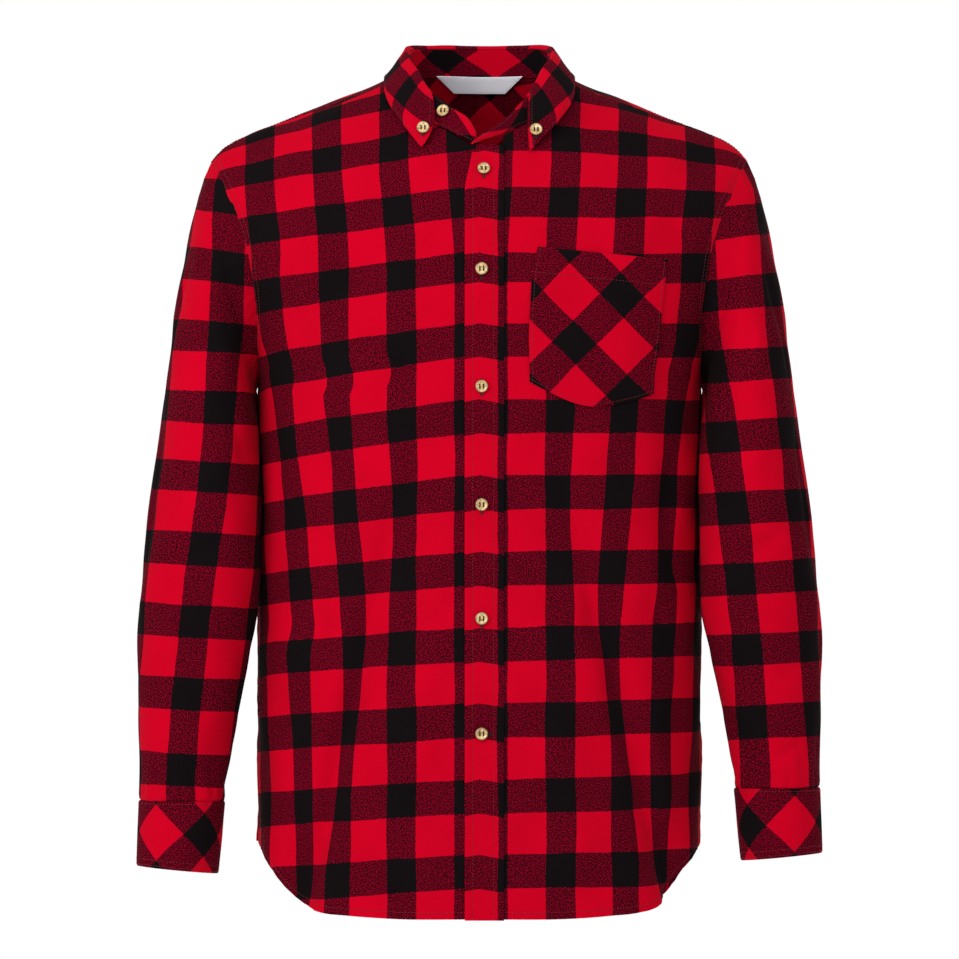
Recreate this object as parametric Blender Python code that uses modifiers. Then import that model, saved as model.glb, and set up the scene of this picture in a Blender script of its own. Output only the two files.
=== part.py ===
"""Flannel shirt, worn and hollow, as the cut pieces a maker sews together.

Sizes are millimetres. Heights count up from the lowest point of the hem, and
distances over the shoulder count from its ridge: below zero in front, above
zero behind. X runs to the wearer's left and -Y to the front.
"""

import math

import bpy
import numpy as np

MM = 0.001
ORIGIN_HEIGHT = 740.0
CLOTH = 1.5
SEAM = 0.4
SECTION_POWER = 2.4
SHOULDER_RADIUS = 110.0
ARMPIT = 490.0
BACK_SEAM_HEIGHT = 690.0

# The hollow form that the panels follow, a row for each level.
LEVELS = {
    "height": (-20, 80, 200, 320, 430, 490, 520, 553, 586, 621, 648, 673, 700, 730, 760, 820),
    "half_width": (206, 206, 206, 206, 206, 206, 210, 216, 226, 238, 250, 262, 269, 273, 276, 280),
    "front": (127, 129, 128, 126, 129, 131, 132, 132, 130, 126, 120, 112, 99, 90, 84, 78),
    "back": (123, 124, 121, 119, 124, 128, 129, 129, 128, 125, 120, 114, 106, 98, 90, 82),
}
# The top line of the shoulders, from the neck out to the sleeve.
RIDGE = {
    "out": (0, 30, 55, 73, 88, 105, 121, 153, 186, 215, 230, 240, 249, 258),
    "height": (812, 806, 795, 785, 776.5, 769, 763, 750, 737, 725, 718.5, 711.5, 700.5, 686),
}
ARMHOLE = {
    "height": (490, 520, 553, 586, 621, 648, 673, 690, 701),
    "front_out": (206, 206, 206.5, 210, 216, 224, 236, 244, 249),
    "back_out": (206, 208, 212, 218, 226, 233, 241, 246, 249),
}
HEM = {
    "out": (0, 84, 123, 145, 164, 174, 182, 191, 206),
    "height": (0, 0.5, 3, 5, 10, 16, 27, 42, 67),
}
# The neck seam from the centre back to the centre front.
NECK = {
    "place": (0, 0.16, 0.3, 0.42, 0.5, 0.55, 0.6, 0.66, 0.72, 0.8, 0.9, 1),
    "out": (0, 27, 55, 72.5, 76, 74, 70, 65, 58, 46, 26, 8),
    "over": (83, 78, 58, 12, -38, -60, -80, -98, -112, -126, -144, -160),
}
NECK_CORNER = 4
YOKE_FRONT = {
    "out": (76, 90, 121, 153, 186, 215, 249),
    "over": (-38, -33, -34, -22, -12, -9, -8),
}
# Where the lines of the front and back panels reach their top seams.
FRONT_LINES = (8, 26, 46, 58, 65, 70, 74, 76, 90, 112, 140, 172, 204, 232, 249)
YOKE_LINES = (249, 232, 204, 172, 140, 112, 90, 76)
BACK_LINES = (246, 227, 198, 163, 129, 99, 79, 66)
YOKE_NECK_PLACES = (0.42, 0.3, 0.16, 0)
BACK_NECK_LINES = (52, 36, 19, 0)
FRONT_ROWS = (0, 0.07, 0.14, 0.21, 0.28, 0.35, 0.41, 0.47, 0.53, 0.59, 0.603, 0.625, 0.66,
              0.71, 0.77, 0.83, 0.885, 0.925, 0.965, 1)
BACK_ROWS = (0, 0.09, 0.18, 0.27, 0.36, 0.45, 0.54, 0.59, 0.633, 0.647, 0.67, 0.71, 0.77,
             0.84, 0.91, 0.96, 1)
YOKE_ROWS = 5

# Drape folds of the body: a trough sinks in, a crest stands out.
FOLDS = (
    # side, x_top, x_low, top, low, half_width, depth
    (-1, -108, -131, 395, -60, 17, 7.0),
    (-1, -38, -47, 370, 180, 13, 3.0),
    (-1, -70, -84, 300, -60, 16, -3.5),
    (-1, -165, -176, 250, -60, 15, 3.5),
    (-1, 103, 162, 405, -60, 18, 7.0),
    (-1, 66, 104, 330, -60, 17, -3.5),
    (-1, 182, 190, 215, -60, 11, 3.0),
    (-1, -120, -60, 640, 470, 30, 2.5),
    (1, -92, -118, 560, -60, 22, 7.0),
    (1, -20, -34, 420, -60, 20, 5.0),
    (1, 60, 78, 600, -60, 22, 7.0),
    (1, 140, 150, 330, -60, 18, 5.0),
)

# One sleeve, a row for each section from armhole to cuff.
SLEEVE = {
    "outer_x": (256.5, 262, 268, 275, 283, 289, 297, 305, 311.5, 316, 317.5, 316, 316, 316),
    "outer_h": (686, 668, 640, 604, 557, 508, 448, 390, 333, 290, 228, 160, 124, 109),
    "inner_x": (208, 208.6, 208.8, 208.4, 207.4, 206, 205, 204.4, 204.2, 207, 216, 229.5, 236, 237.5),
    "inner_h": (487, 484, 479, 472, 460, 440, 403, 360, 315, 280, 226, 160, 123, 108),
    "depth": (66, 69, 71, 73, 73, 72, 69, 65, 60, 57, 53, 49, 46, 42.5),
    "y": (0, -1, -4, -9, -17, -26, -33, -37, -38, -38, -36, -34, -33, -33),
}
SLEEVE_FOLDS = (
    # turn, top, low, half_turn, half_length, depth
    (0.40, 480, 330, 0.045, 60, 3.0),
    (0.30, 330, 250, 0.050, 45, 3.0),
    (0.62, 400, 300, 0.050, 60, 3.5),
    (0.10, 420, 200, 0.040, 90, 2.0),
    (0.78, 300, 180, 0.050, 70, 3.0),
    (0.43, 175, 108, 0.030, 45, 2.5),
)
CUFF_LIFT = {-1: 0.0, 1: 12.0}
CUFF = {
    "outer_x": (316, 316.9, 317.5),
    "outer_h": (107.8, 77, 47),
    "inner_x": (237.2, 240, 243.5),
    "inner_h": (106.8, 73, 40),
    "depth": (40.5, 40, 39),
    "y": (-33, -34, -35),
}
CUFF_LAP = 0.075
CUFF_STEP = 2.4
SLIT_TURN = 0.86
SLIT_WIDTH = 24.0

PLACKET_RIGHT = 21.4
PLACKET_LEFT = -13.6
UNDERLAP = 13.0
PLACKET_TOP = 709.5
BUTTON_X = 2.0
BUTTON_HEIGHTS = (691, 599, 491, 382, 277, 171)
BUTTON_RADIUS = 6.0
BUTTON_THICK = 2.6
BUTTON_HOLE = 0.75
BUTTON_HOLE_PITCH = 1.7

POCKET_TOP = 619.5
POCKET = {
    "up": (0, 0.12, 0.3, 0.55, 0.8, 1),
    "left": (46, 46, 45.5, 46.5, 48.5, 53.5),
    "right": (161, 161, 164, 167, 170, 173),
}
POCKET_LOW = {
    "across": (0, 0.12, 0.52, 0.88, 1),
    "height": (495, 487.5, 472, 479.5, 484),
}

# Collar stand: its top edge, wearer's right end first.
STAND_TOP = {
    "place": (-1, -0.95, -0.9, -0.8, -0.72, -0.6, -0.5, -0.42, -0.3, -0.16, 0,
              0.16, 0.3, 0.42, 0.5, 0.6, 0.72, 0.8, 0.9, 1),
    "x": (-3.5, -11, -20, -36, -45, -56, -64, -65, -55, -29, 0,
          29, 55, 65, 64, 56, 45, 36, 20, -3),
    "y": (-89, -86, -83, -73, -62, -36, -14, 8, 36, 52, 57,
          52, 36, 8, -14, -36, -63, -77, -92, -97),
    "h": (727, 739, 745, 757, 763.5, 782, 794, 802, 806, 806.5, 806.5,
          806.5, 806, 802, 794, 782, 762, 751, 735.5, 721),
}
STAND_PLACES = (1, 0.95, 0.9, 0.8, 0.72, 0.66, 0.6, 0.55, 0.5, 0.42, 0.3, 0.16)
# Collar leaf: roll line, middle and lower edge at each place round the neck.
LEAF = {
    "place": (-0.745, -0.69, -0.6, -0.5, -0.44, -0.35, -0.2, 0, 0.2, 0.35, 0.44, 0.5, 0.6, 0.69, 0.745),
    "roll_x": (-45, -51, -58.5, -66.5, -69, -66, -40, 0, 40, 66, 69, 66.5, 58.5, 51, 46),
    "roll_y": (-69, -57, -38, -15, 4, 28, 53, 61, 53, 28, 4, -15, -38, -57, -70),
    "roll_h": (764.5, 773, 787, 799.5, 807, 811, 811.5, 811.5, 811.5, 811, 807, 799.5, 787, 772, 763),
    "mid_x": (-42, -64, -76, -81.5, -81, -76, -47, 0, 47, 76, 81, 81.5, 76, 65, 44.5),
    "mid_y": (-91, -83, -54, -20, 6, 34, 65, 75, 65, 34, 6, -20, -54, -84, -92),
    "mid_h": (736, 747, 768, 783, 789, 792, 791, 790, 791, 792, 789, 783, 768, 746, 734),
    "edge_x": (-54, -66.5, -82.5, -89, -88.5, -83, -52, 0, 52, 83, 88.5, 89, 84.5, 66, 47),
    "edge_y": (-99, -92, -68, -32, 8, 42, 74, 85, 74, 42, 8, -32, -67, -92, -101),
    "edge_h": (712, 727, 750, 773, 781, 778, 768, 765, 768, 778, 781, 772, 752, 728, 708.5),
}
LEAF_DOWNS = (0, 0.1, 0.2, 0.4, 0.6, 0.8, 1)
LABEL = {"half_top": 40.0, "half_low": 24.0, "drop": 15.0, "thick": 1.0}

COLOURS = {
    "flannel": (0.42, 0.006, 0.018, 1.0),
    "flannel_bias": (0.30, 0.005, 0.014, 1.0),
    "label_white": (0.88, 0.88, 0.90, 1.0),
    "horn": (0.55, 0.36, 0.16, 1.0),
}


def clear_scene():
    for item in list(bpy.data.objects):
        bpy.data.objects.remove(item, do_unlink=True)


def curve(table, along, column, at):
    """Smooth value of a table's column where its first column reads `at`."""
    xs = np.asarray(table[along], float)
    ys = np.asarray(table[column], float)
    steps = np.diff(xs)
    slopes = np.diff(ys) / steps
    inner = (slopes[:-1] * steps[1:] + slopes[1:] * steps[:-1]) / (steps[:-1] + steps[1:])
    flat = slopes[:-1] * slopes[1:] <= 0
    inner = np.where(flat, 0.0, inner)
    tangent = np.concatenate([slopes[:1], inner, slopes[-1:]])
    at = np.clip(at, xs[0], xs[-1])
    i = int(np.clip(np.searchsorted(xs, at) - 1, 0, len(steps) - 1))
    t = (at - xs[i]) / steps[i]
    blend = (1 + 2 * t) * (1 - t) ** 2, t * (1 - t) ** 2, t * t * (3 - 2 * t), t * t * (t - 1)
    return (blend[0] * ys[i] + blend[1] * steps[i] * tangent[i]
            + blend[2] * ys[i + 1] + blend[3] * steps[i] * tangent[i + 1])


def ease(t):
    t = min(max(t, 0.0), 1.0)
    return t * t * (3 - 2 * t)


def ridge(x):
    return curve(RIDGE, "out", "height", abs(x))


def drop_of(over):
    quarter = SHOULDER_RADIUS * math.pi / 2
    reach = abs(over)
    if reach < quarter:
        return SHOULDER_RADIUS * (1 - math.cos(reach / SHOULDER_RADIUS))
    return SHOULDER_RADIUS + reach - quarter


def over_of(drop):
    if drop < SHOULDER_RADIUS:
        return SHOULDER_RADIUS * math.acos(1 - max(drop, 0.0) / SHOULDER_RADIUS)
    return SHOULDER_RADIUS * (math.pi / 2 - 1) + drop


def fold_depth(side, x, h):
    total = 0.0
    for fold_side, x_top, x_low, top, low, half_width, depth in FOLDS:
        if side != fold_side:
            continue
        along = (top - h) / (top - low)
        if not 0 < along < 1:
            continue
        middle = x_top + (x_low - x_top) * along
        fade = ease(along * 3.0) * ease((1 - along) * 8.0)
        total += depth * fade * math.exp(-((x - middle) / half_width) ** 2)
    return total


def body_point(angle, h, side, out=0.0):
    """Point of the body form: angle 0 is its middle, a quarter turn its side."""
    half = curve(LEVELS, "height", "half_width", h)
    depth = curve(LEVELS, "height", "front" if side < 0 else "back", h)
    sine = math.sin(angle)
    cosine = max(math.cos(angle), 0.0)
    x = half * math.copysign(abs(sine) ** (2 / SECTION_POWER), sine)
    round_off = math.sin(min(over_of(ridge(x) - h) / SHOULDER_RADIUS, math.pi / 2))
    y = side * depth * cosine ** (2 / SECTION_POWER) * round_off
    normal_x = math.copysign(abs(x / half) ** (SECTION_POWER - 1) / half, x)
    normal_y = side * abs(cosine ** (2 / SECTION_POWER)) ** (SECTION_POWER - 1) / depth
    length = math.hypot(normal_x, normal_y)
    move = out - fold_depth(side, x, h)
    return (x + move * normal_x / length, y + move * normal_y / length, h)


def angle_at(x, h):
    half = curve(LEVELS, "height", "half_width", h)
    share = min(abs(x) / half, 1.0)
    return math.copysign(math.asin(share ** (SECTION_POWER / 2)), x)


def form_point(x, over, out=0.0):
    h = ridge(x) - drop_of(over)
    return body_point(angle_at(x, h), h, -1 if over < 0 else 1, out)


def front_point(x, h, out=0.0):
    return body_point(angle_at(x, h), h, -1, out)


def armhole_out(h, side):
    if h <= ARMPIT:
        return curve(LEVELS, "height", "half_width", h)
    return curve(ARMHOLE, "height", "front_out" if side < 0 else "back_out", h)


def neck_over(x):
    """How far in front of the ridge the neckline lies, as a distance."""
    table = {"out": NECK["out"][:NECK_CORNER - 1:-1], "over": NECK["over"][:NECK_CORNER - 1:-1]}
    return -curve(table, "out", "over", abs(x))


def front_top(x):
    if abs(x) < NECK["out"][NECK_CORNER]:
        return neck_over(x) + SEAM
    return -curve(YOKE_FRONT, "out", "over", abs(x)) + 3 * SEAM


def back_top(x):
    return over_of(ridge(x) - BACK_SEAM_HEIGHT) + 2 * SEAM


def panel_line(inner, hand, side, top_x, rows, top, hem_lift):
    """One line of points up a panel, from the hem to its top seam at top_x."""
    head = ridge(top_x) - drop_of(top(top_x))

    def angles(h):
        return angle_at(inner, h), hand * angle_at(armhole_out(h, side), h)

    low, high = angles(head)
    share = min((angle_at(top_x, head) - low) / (high - low), 1.0)
    outermost = share > 0.99

    def angle(h):
        first, last = angles(h)
        return last if outermost else first + (last - first) * share

    def x_at(h):
        half = curve(LEVELS, "height", "half_width", h)
        sine = math.sin(angle(h))
        return half * math.copysign(abs(sine) ** (2 / SECTION_POWER), sine)

    foot = 20.0
    for _ in range(12):
        foot = hem_lift + curve(HEM, "out", "height", abs(x_at(foot)))
    low_over = over_of(ridge(x_at(foot)) - foot)
    high_over = over_of(ridge(x_at(head)) - head)
    points = []
    for row in rows:
        over = low_over + (high_over - low_over) * row
        h = foot + (head - foot) * row
        for _ in range(30):
            h = 0.5 * h + 0.5 * (ridge(x_at(h)) - drop_of(over))
        if row in (0, 1):
            h = head if row else foot
        if outermost and abs(h - ARMPIT) < 4:
            h = ARMPIT
        x, y, z = body_point(angle(h), h, side)
        if outermost and h <= ARMPIT:
            y = side * 0.3
        points.append((x, y, z))
    return points


def front_panel(hand, inner):
    lines = [x for x in FRONT_LINES if x > hand * inner + 3]
    tops = [inner] + [hand * x for x in lines]
    return [panel_line(inner, hand, -1, x, FRONT_ROWS, front_top, 0.0) for x in tops]


def back_panel():
    outs = BACK_LINES + BACK_NECK_LINES
    tops = [-x for x in outs[:-1]] + list(outs[::-1])
    return [panel_line(0.0, 1 if x >= 0 else -1, 1, x, BACK_ROWS, back_top, 2.0) for x in tops]


def armhole_at(over):
    """How far out the armhole lies at a distance over the ridge."""
    x = 249.0
    column = "front_out" if over < 0 else "back_out"
    for _ in range(20):
        x = 0.5 * x + 0.5 * curve(ARMHOLE, "height", column, ridge(x) - drop_of(over))
    return x


def yoke_panel():
    edge = [(x, curve(YOKE_FRONT, "out", "over", x)) for x in YOKE_LINES]
    for place in YOKE_NECK_PLACES:
        over = curve(NECK, "place", "over", place)
        edge.append((curve(NECK, "place", "out", place), over + SEAM))
    halves = []
    for hand in (-1, 1):
        half = []
        for (x, over), low_x in zip(edge, BACK_LINES + BACK_NECK_LINES):
            low = over_of(ridge(low_x) - BACK_SEAM_HEIGHT)
            line = []
            for row in range(YOKE_ROWS + 1):
                here = over + (low - over) * row / YOKE_ROWS
                across = x + (low_x - x) * row / YOKE_ROWS
                if x == YOKE_LINES[0]:
                    across = armhole_at(here)
                line.append(form_point(hand * across, here))
            half.append(line)
        halves.append(half)
    return halves[0] + halves[1][-2::-1]


def shares_of(line):
    """How far along a closed line each of its points lies, from 0 to 1."""
    line = np.vstack([line, line[:1]])
    lengths = np.concatenate([[0], np.cumsum(np.linalg.norm(np.diff(line, axis=0), axis=1))])
    return lengths[:-1] / lengths[-1]


def points_along(line, shares):
    line = np.vstack([line, line[:1]])
    lengths = np.concatenate([[0], np.cumsum(np.linalg.norm(np.diff(line, axis=0), axis=1))])
    return np.stack([np.interp(np.asarray(shares) * lengths[-1], lengths, line[:, k])
                     for k in range(3)], axis=1)


def armhole_ring(panels, hand):
    """The points of the armhole edge: shoulder tip, down the front, up the back."""
    front = [p for p in panels["front_right" if hand < 0 else "front_left"][-1] if p[2] >= ARMPIT]
    back = [p for p in panels["back"][0 if hand < 0 else -1] if p[2] >= ARMPIT]
    yoke = panels["yoke"][0 if hand < 0 else -1]
    middle = YOKE_ROWS // 3
    armpit = (front[0][0], 0.0, ARMPIT)
    return yoke[middle::-1] + front[-2:0:-1] + [armpit] + back[1:-1] + yoke[:middle:-1]


def sleeve_fold(turn, h):
    total = 0.0
    for centre, top, low, half_turn, half_length, depth in SLEEVE_FOLDS:
        middle = (top + low) / 2
        reach = (top - low) / 2 + half_length
        if abs(h - middle) > reach:
            continue
        fade = ease((reach - abs(h - middle)) / half_length)
        away = abs((turn - centre + 0.5) % 1.0 - 0.5)
        total += depth * fade * math.exp(-(away / half_turn) ** 2)
    return total


def arm_section(table, hand, row, turn, out=0.0, lift=0.0):
    """Point of a sleeve or cuff; a turn of 0 is its outer side, 0.25 its front."""
    spots = {key: np.interp(row, range(len(values)), values) for key, values in table.items()}
    outer = np.array([spots["outer_x"], spots["outer_h"]])
    inner = np.array([spots["inner_x"], spots["inner_h"]])
    outer[1] += lift * ease((330 - outer[1]) / 200)
    inner[1] += lift * ease((330 - inner[1]) / 200)
    middle = (outer + inner) / 2
    half = np.linalg.norm(outer - inner) / 2
    along = (outer - inner) / (2 * half)
    angle = 2 * math.pi * turn
    move = out - (sleeve_fold(turn, middle[1]) if table is SLEEVE else 0.0)
    flat = (half + move) * math.cos(angle) * along + middle
    y = spots["y"] - (spots["depth"] + move) * math.sin(angle)
    return (hand * flat[0], y, flat[1])


def sleeve_rings(hand, first):
    first = np.array(first)
    even = np.arange(len(first)) / len(first)
    start = shares_of(first)
    rings = []
    for row in range(len(SLEEVE["y"])):
        dense = np.array([arm_section(SLEEVE, hand, row, k / 360, 0.0, CUFF_LIFT[hand])
                          for k in range(360)])
        mix = ease(row / 9)
        rings.append(points_along(dense, start * (1 - mix) + even * mix))
    away = rings[0] - first
    away /= np.linalg.norm(away, axis=1)[:, None]
    return [first + 0.8 * away] + rings


def cuff_rings(hand, count):
    rings = []
    for row in range(3):
        ring = []
        for k in range(count + 1):
            share = k / count
            turn = SLIT_TURN - CUFF_LAP / 2 + share * (1 + CUFF_LAP)
            ring.append(arm_section(CUFF, hand, row, turn % 1.0, CUFF_STEP * share, CUFF_LIFT[hand]))
        rings.append(ring)
    return rings


def slit_columns(hand):
    """The strip that finishes the slit behind the wrist."""
    columns = []
    for across in np.linspace(-0.5, 0.5, 4):
        column = []
        for up in np.linspace(0, 1, 7):
            row = 12.95 - 2.6 * up * (1.0 - 0.16 * abs(across) * ease((up - 0.7) / 0.3))
            turn = SLIT_TURN + across * SLIT_WIDTH / 300.0
            column.append(arm_section(SLEEVE, hand, row, turn, CLOTH + 2.2, CUFF_LIFT[hand]))
        columns.append(column)
    return columns


def placket_columns():
    columns = []
    for across in (0, 0.5, 1):
        x = PLACKET_LEFT + (PLACKET_RIGHT - PLACKET_LEFT) * across
        top = PLACKET_TOP + 5 * across
        foot = curve(HEM, "out", "height", abs(x)) - 1.0
        levels = list(np.linspace(foot, 600, 13)) + list(np.linspace(600, top, 11))[1:]
        column = []
        for h in levels:
            lean = 6.5 * ease((h - 670) / 40) * (1 - across)
            column.append(front_point(x + lean, h, CLOTH + SEAM + 0.8 * ease((h - 640) / 50)))
        columns.append(column)
    return columns


def pocket_columns():
    columns = []
    for across in (0, 0.12, 0.22, 0.32, 0.42, 0.52, 0.64, 0.76, 0.88, 1):
        column = []
        for up in np.linspace(0, 1, 9):
            left = curve(POCKET, "up", "left", up)
            right = curve(POCKET, "up", "right", up)
            x = left + (right - left) * across
            low = curve(POCKET_LOW, "across", "height", across)
            top = POCKET_TOP - 11.5 * across
            column.append(front_point(x, low + (top - low) * up, CLOTH + 2 * SEAM))
        columns.append(column)
    return columns


def stand_low(place):
    out = math.copysign(curve(NECK, "place", "out", abs(place)), place)
    x, y, h = form_point(out, curve(NECK, "place", "over", abs(place)))
    reach = ease((abs(place) - 0.9) / 0.1)
    if place > 0:
        return (x - 15 * reach, y - 3.0 * reach, h + 0.7)
    return (x + 5 * reach, y, h + 0.7)


def stand_point(place, up, out=0.0):
    low = np.array(stand_low(place))
    top = np.array([curve(STAND_TOP, "place", key, place) for key in ("x", "y", "h")])
    point = low + (top - low) * up
    ahead = np.array(stand_low(min(place + 0.02, 1))) - np.array(stand_low(max(place - 0.02, -1)))
    normal = np.cross(ahead, top - low)
    normal /= np.linalg.norm(normal)
    bow = 0.8 * 4 * up * (1 - up)
    return point - normal * (out + bow)


def leaf_point(place, down, out=0.0):
    """Point of the collar leaf: 0 is sewn to the stand, 0.1 its roll, 1 its edge."""
    roll = np.array([curve(LEAF, "place", key, place) for key in ("roll_x", "roll_y", "roll_h")])
    mid = np.array([curve(LEAF, "place", key, place) for key in ("mid_x", "mid_y", "mid_h")])
    edge = np.array([curve(LEAF, "place", key, place) for key in ("edge_x", "edge_y", "edge_h")])
    if down < 0.1:
        sewn = stand_point(place, 1.0) + np.array([0, 0, 0.8])
        return sewn + (roll - sewn) * (down / 0.1)
    t = (down - 0.1) / 0.9
    control = 2 * mid - (roll + edge) / 2
    return roll * (1 - t) ** 2 + 2 * control * t * (1 - t) + edge * t * t


def normal_of(point_at, a, b, step=0.004):
    base = np.array(point_at(a, b))
    one = np.array(point_at(a + step, b)) - base
    two = np.array(point_at(a, b + step)) - base
    normal = np.cross(one, two)
    return base, normal / np.linalg.norm(normal)


def to_world(point):
    return (point[0] * MM, point[1] * MM, (point[2] - ORIGIN_HEIGHT) * MM)


def new_material(name):
    material = bpy.data.materials.new(name)
    material.use_nodes = True
    shader = material.node_tree.nodes["Principled BSDF"]
    family = "flannel"
    if name.startswith("mat_button"):
        family = "horn"
    elif name == "mat_label":
        family = "label_white"
    elif any(word in name for word in ("yoke", "pocket", "cuff", "stand")):
        family = "flannel_bias"
    shader.inputs["Base Color"].default_value = COLOURS[family]
    shader.inputs["Roughness"].default_value = 0.35 if family == "horn" else 0.9
    return material


def add_mesh(name, points, faces, collection):
    mesh = bpy.data.meshes.new(name)
    mesh.from_pydata([to_world(p) for p in points], [], faces)
    mesh.update()
    made = bpy.data.objects.new(name, mesh)
    made.data.materials.append(new_material("mat_" + name))
    collection.objects.link(made)
    return made


def add_sheet(name, grid, collection, closed=False, flip=False, thick=CLOTH):
    """A cloth panel: a grid of points as an open surface, given its wall inwards."""
    grid = [list(map(tuple, line)) for line in grid]
    rows = len(grid[0])
    lines = len(grid)
    points = [p for line in grid for p in line]
    faces = []
    for i in range(lines if closed else lines - 1):
        here = i * rows
        there = ((i + 1) % lines) * rows
        for j in range(rows - 1):
            face = (here + j, there + j, there + j + 1, here + j + 1)
            faces.append(face[::-1] if flip else face)
    made = add_mesh(name, points, faces, collection)
    wall = made.modifiers.new("wall", "SOLIDIFY")
    wall.thickness = thick * MM
    wall.offset = -1.0
    wall.use_even_offset = False
    wall.use_rim = True
    return made


def add_button(name, base, normal, up, collection, cutters):
    """A four-hole button with a raised rim, its back at base."""
    normal = np.asarray(normal, float)
    up = np.asarray(up, float)
    across = np.cross(up, normal)
    across /= np.linalg.norm(across)
    up = np.cross(normal, across)
    profile = ((0.0, 0.0), (0.72, 0.0), (0.97, 0.3), (1.0, 0.62), (0.95, 0.9),
               (0.84, 1.0), (0.72, 0.93), (0.6, 0.7), (0.0, 0.66))
    segments = 20
    points = [tuple(base)]
    for radius, height in profile[1:-1]:
        for k in range(segments):
            angle = 2 * math.pi * k / segments
            reach = BUTTON_RADIUS * radius
            flat = across * math.cos(angle) + up * math.sin(angle)
            points.append(tuple(base + flat * reach + normal * BUTTON_THICK * height))
    points.append(tuple(base + normal * BUTTON_THICK * profile[-1][1]))
    faces = []
    for k in range(segments):
        after = (k + 1) % segments
        faces.append((0, 1 + after, 1 + k))
        for ring in range(len(profile) - 3):
            low = 1 + ring * segments
            faces.append((low + k, low + after, low + segments + after, low + segments + k))
        last = 1 + (len(profile) - 3) * segments
        faces.append((last + k, last + after, len(points) - 1))
    made = add_mesh(name, points, faces, collection)
    holes = []
    hole_faces = []
    for one in (-1, 1):
        for two in (-1, 1):
            centre = base + (across * one + up * two) * BUTTON_HOLE_PITCH
            start = len(holes)
            for height in (-1.0, BUTTON_THICK + 1.0):
                for k in range(8):
                    angle = 2 * math.pi * k / 8
                    flat = across * math.cos(angle) + up * math.sin(angle)
                    holes.append(tuple(centre + flat * BUTTON_HOLE + normal * height))
            for k in range(8):
                after = (k + 1) % 8
                hole_faces.append((start + k, start + after, start + 8 + after, start + 8 + k))
            hole_faces.append(tuple(start + 7 - k for k in range(8)))
            hole_faces.append(tuple(start + 8 + k for k in range(8)))
    cutter = add_mesh(name + "_holes", holes, hole_faces, cutters)
    cutter.hide_render = True
    cutter.display_type = "WIRE"
    bore = made.modifiers.new("holes", "BOOLEAN")
    bore.operation = "DIFFERENCE"
    bore.solver = "EXACT"
    bore.object = cutter
    return made


def build_body(shirt):
    panels = {"front_right": front_panel(-1, UNDERLAP),
              "front_left": front_panel(1, PLACKET_RIGHT + SEAM),
              "back": back_panel(),
              "yoke": yoke_panel()}
    add_sheet("front_right", panels["front_right"], shirt, flip=True)
    add_sheet("front_left", panels["front_left"], shirt)
    add_sheet("back", panels["back"], shirt, flip=True)
    add_sheet("yoke", panels["yoke"], shirt)
    add_sheet("placket", placket_columns(), shirt)
    add_sheet("pocket", pocket_columns(), shirt)
    return panels


def build_sleeves(shirt, panels):
    for hand, word in ((-1, "right"), (1, "left")):
        rings = np.array(sleeve_rings(hand, armhole_ring(panels, hand)))
        add_sheet("sleeve_" + word, rings.transpose(1, 0, 2), shirt, closed=True, flip=hand < 0)
        band = np.array(cuff_rings(hand, 26))
        add_sheet("cuff_" + word, band.transpose(1, 0, 2), shirt, flip=hand < 0)
        add_sheet("sleeve_placket_" + word, slit_columns(hand), shirt, flip=hand < 0)


def build_collar(shirt):
    places = [-p for p in STAND_PLACES] + [0] + list(STAND_PLACES[::-1])
    stand = [[stand_point(p, u) for u in (0, 0.5, 1)] for p in places]
    add_sheet("collar_stand", stand, shirt, flip=True)
    places = []
    for first, last in zip(LEAF["place"], LEAF["place"][1:]):
        places += [first, (first + last) / 2]
    places.append(LEAF["place"][-1])
    add_sheet("collar_leaf", [[leaf_point(p, d) for d in LEAF_DOWNS] for p in places], shirt)
    grid = []
    for across in (-1, -0.5, 0, 0.5, 1):
        column = []
        for down in (0, 0.5, 1):
            half = LABEL["half_top"] + (LABEL["half_low"] - LABEL["half_top"]) * down
            x = across * half
            over = over_of(ridge(x) - 781.0 + LABEL["drop"] * down)
            column.append(form_point(x, over, -CLOTH - 3.0))
        grid.append(column)
    add_sheet("neck_label", grid, shirt, thick=LABEL["thick"])


def build_buttons(shirt, cutters):
    up = (0, 0, 1)
    lift = 2 * SEAM
    for number, height in enumerate(BUTTON_HEIGHTS, 1):
        def face(x, h):
            return front_point(x, h, CLOTH + SEAM + 0.8 * ease((h - 640) / 50))

        base, normal = normal_of(face, BUTTON_X, height, 0.5)
        add_button(f"button_front_{number}", base + normal * lift, normal, up, shirt, cutters)
    base, normal = normal_of(stand_point, -0.84, 0.62)
    add_button("button_neck", base - normal * lift, -normal, up, shirt, cutters)
    for hand, word in ((-1, "right"), (1, "left")):
        base, normal = normal_of(leaf_point, hand * 0.728, 0.74)
        add_button("button_collar_" + word, base + normal * lift, normal, up, shirt, cutters)

        def cuff_face(turn, row):
            return arm_section(CUFF, hand, row, turn % 1.0, CUFF_STEP, CUFF_LIFT[hand])

        base, normal = normal_of(cuff_face, SLIT_TURN, 1.0)
        normal = normal * hand
        add_button("button_cuff_" + word, base + normal * lift, normal, up, shirt, cutters)


def main():
    clear_scene()
    shirt = bpy.data.collections.new("flannel_shirt")
    bpy.context.scene.collection.children.link(shirt)
    cutters = bpy.data.collections.new("cutters")
    bpy.context.scene.collection.children.link(cutters)
    panels = build_body(shirt)
    build_sleeves(shirt, panels)
    build_collar(shirt)
    build_buttons(shirt, cutters)
    cutters.hide_render = True


main()
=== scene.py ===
import math

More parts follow.
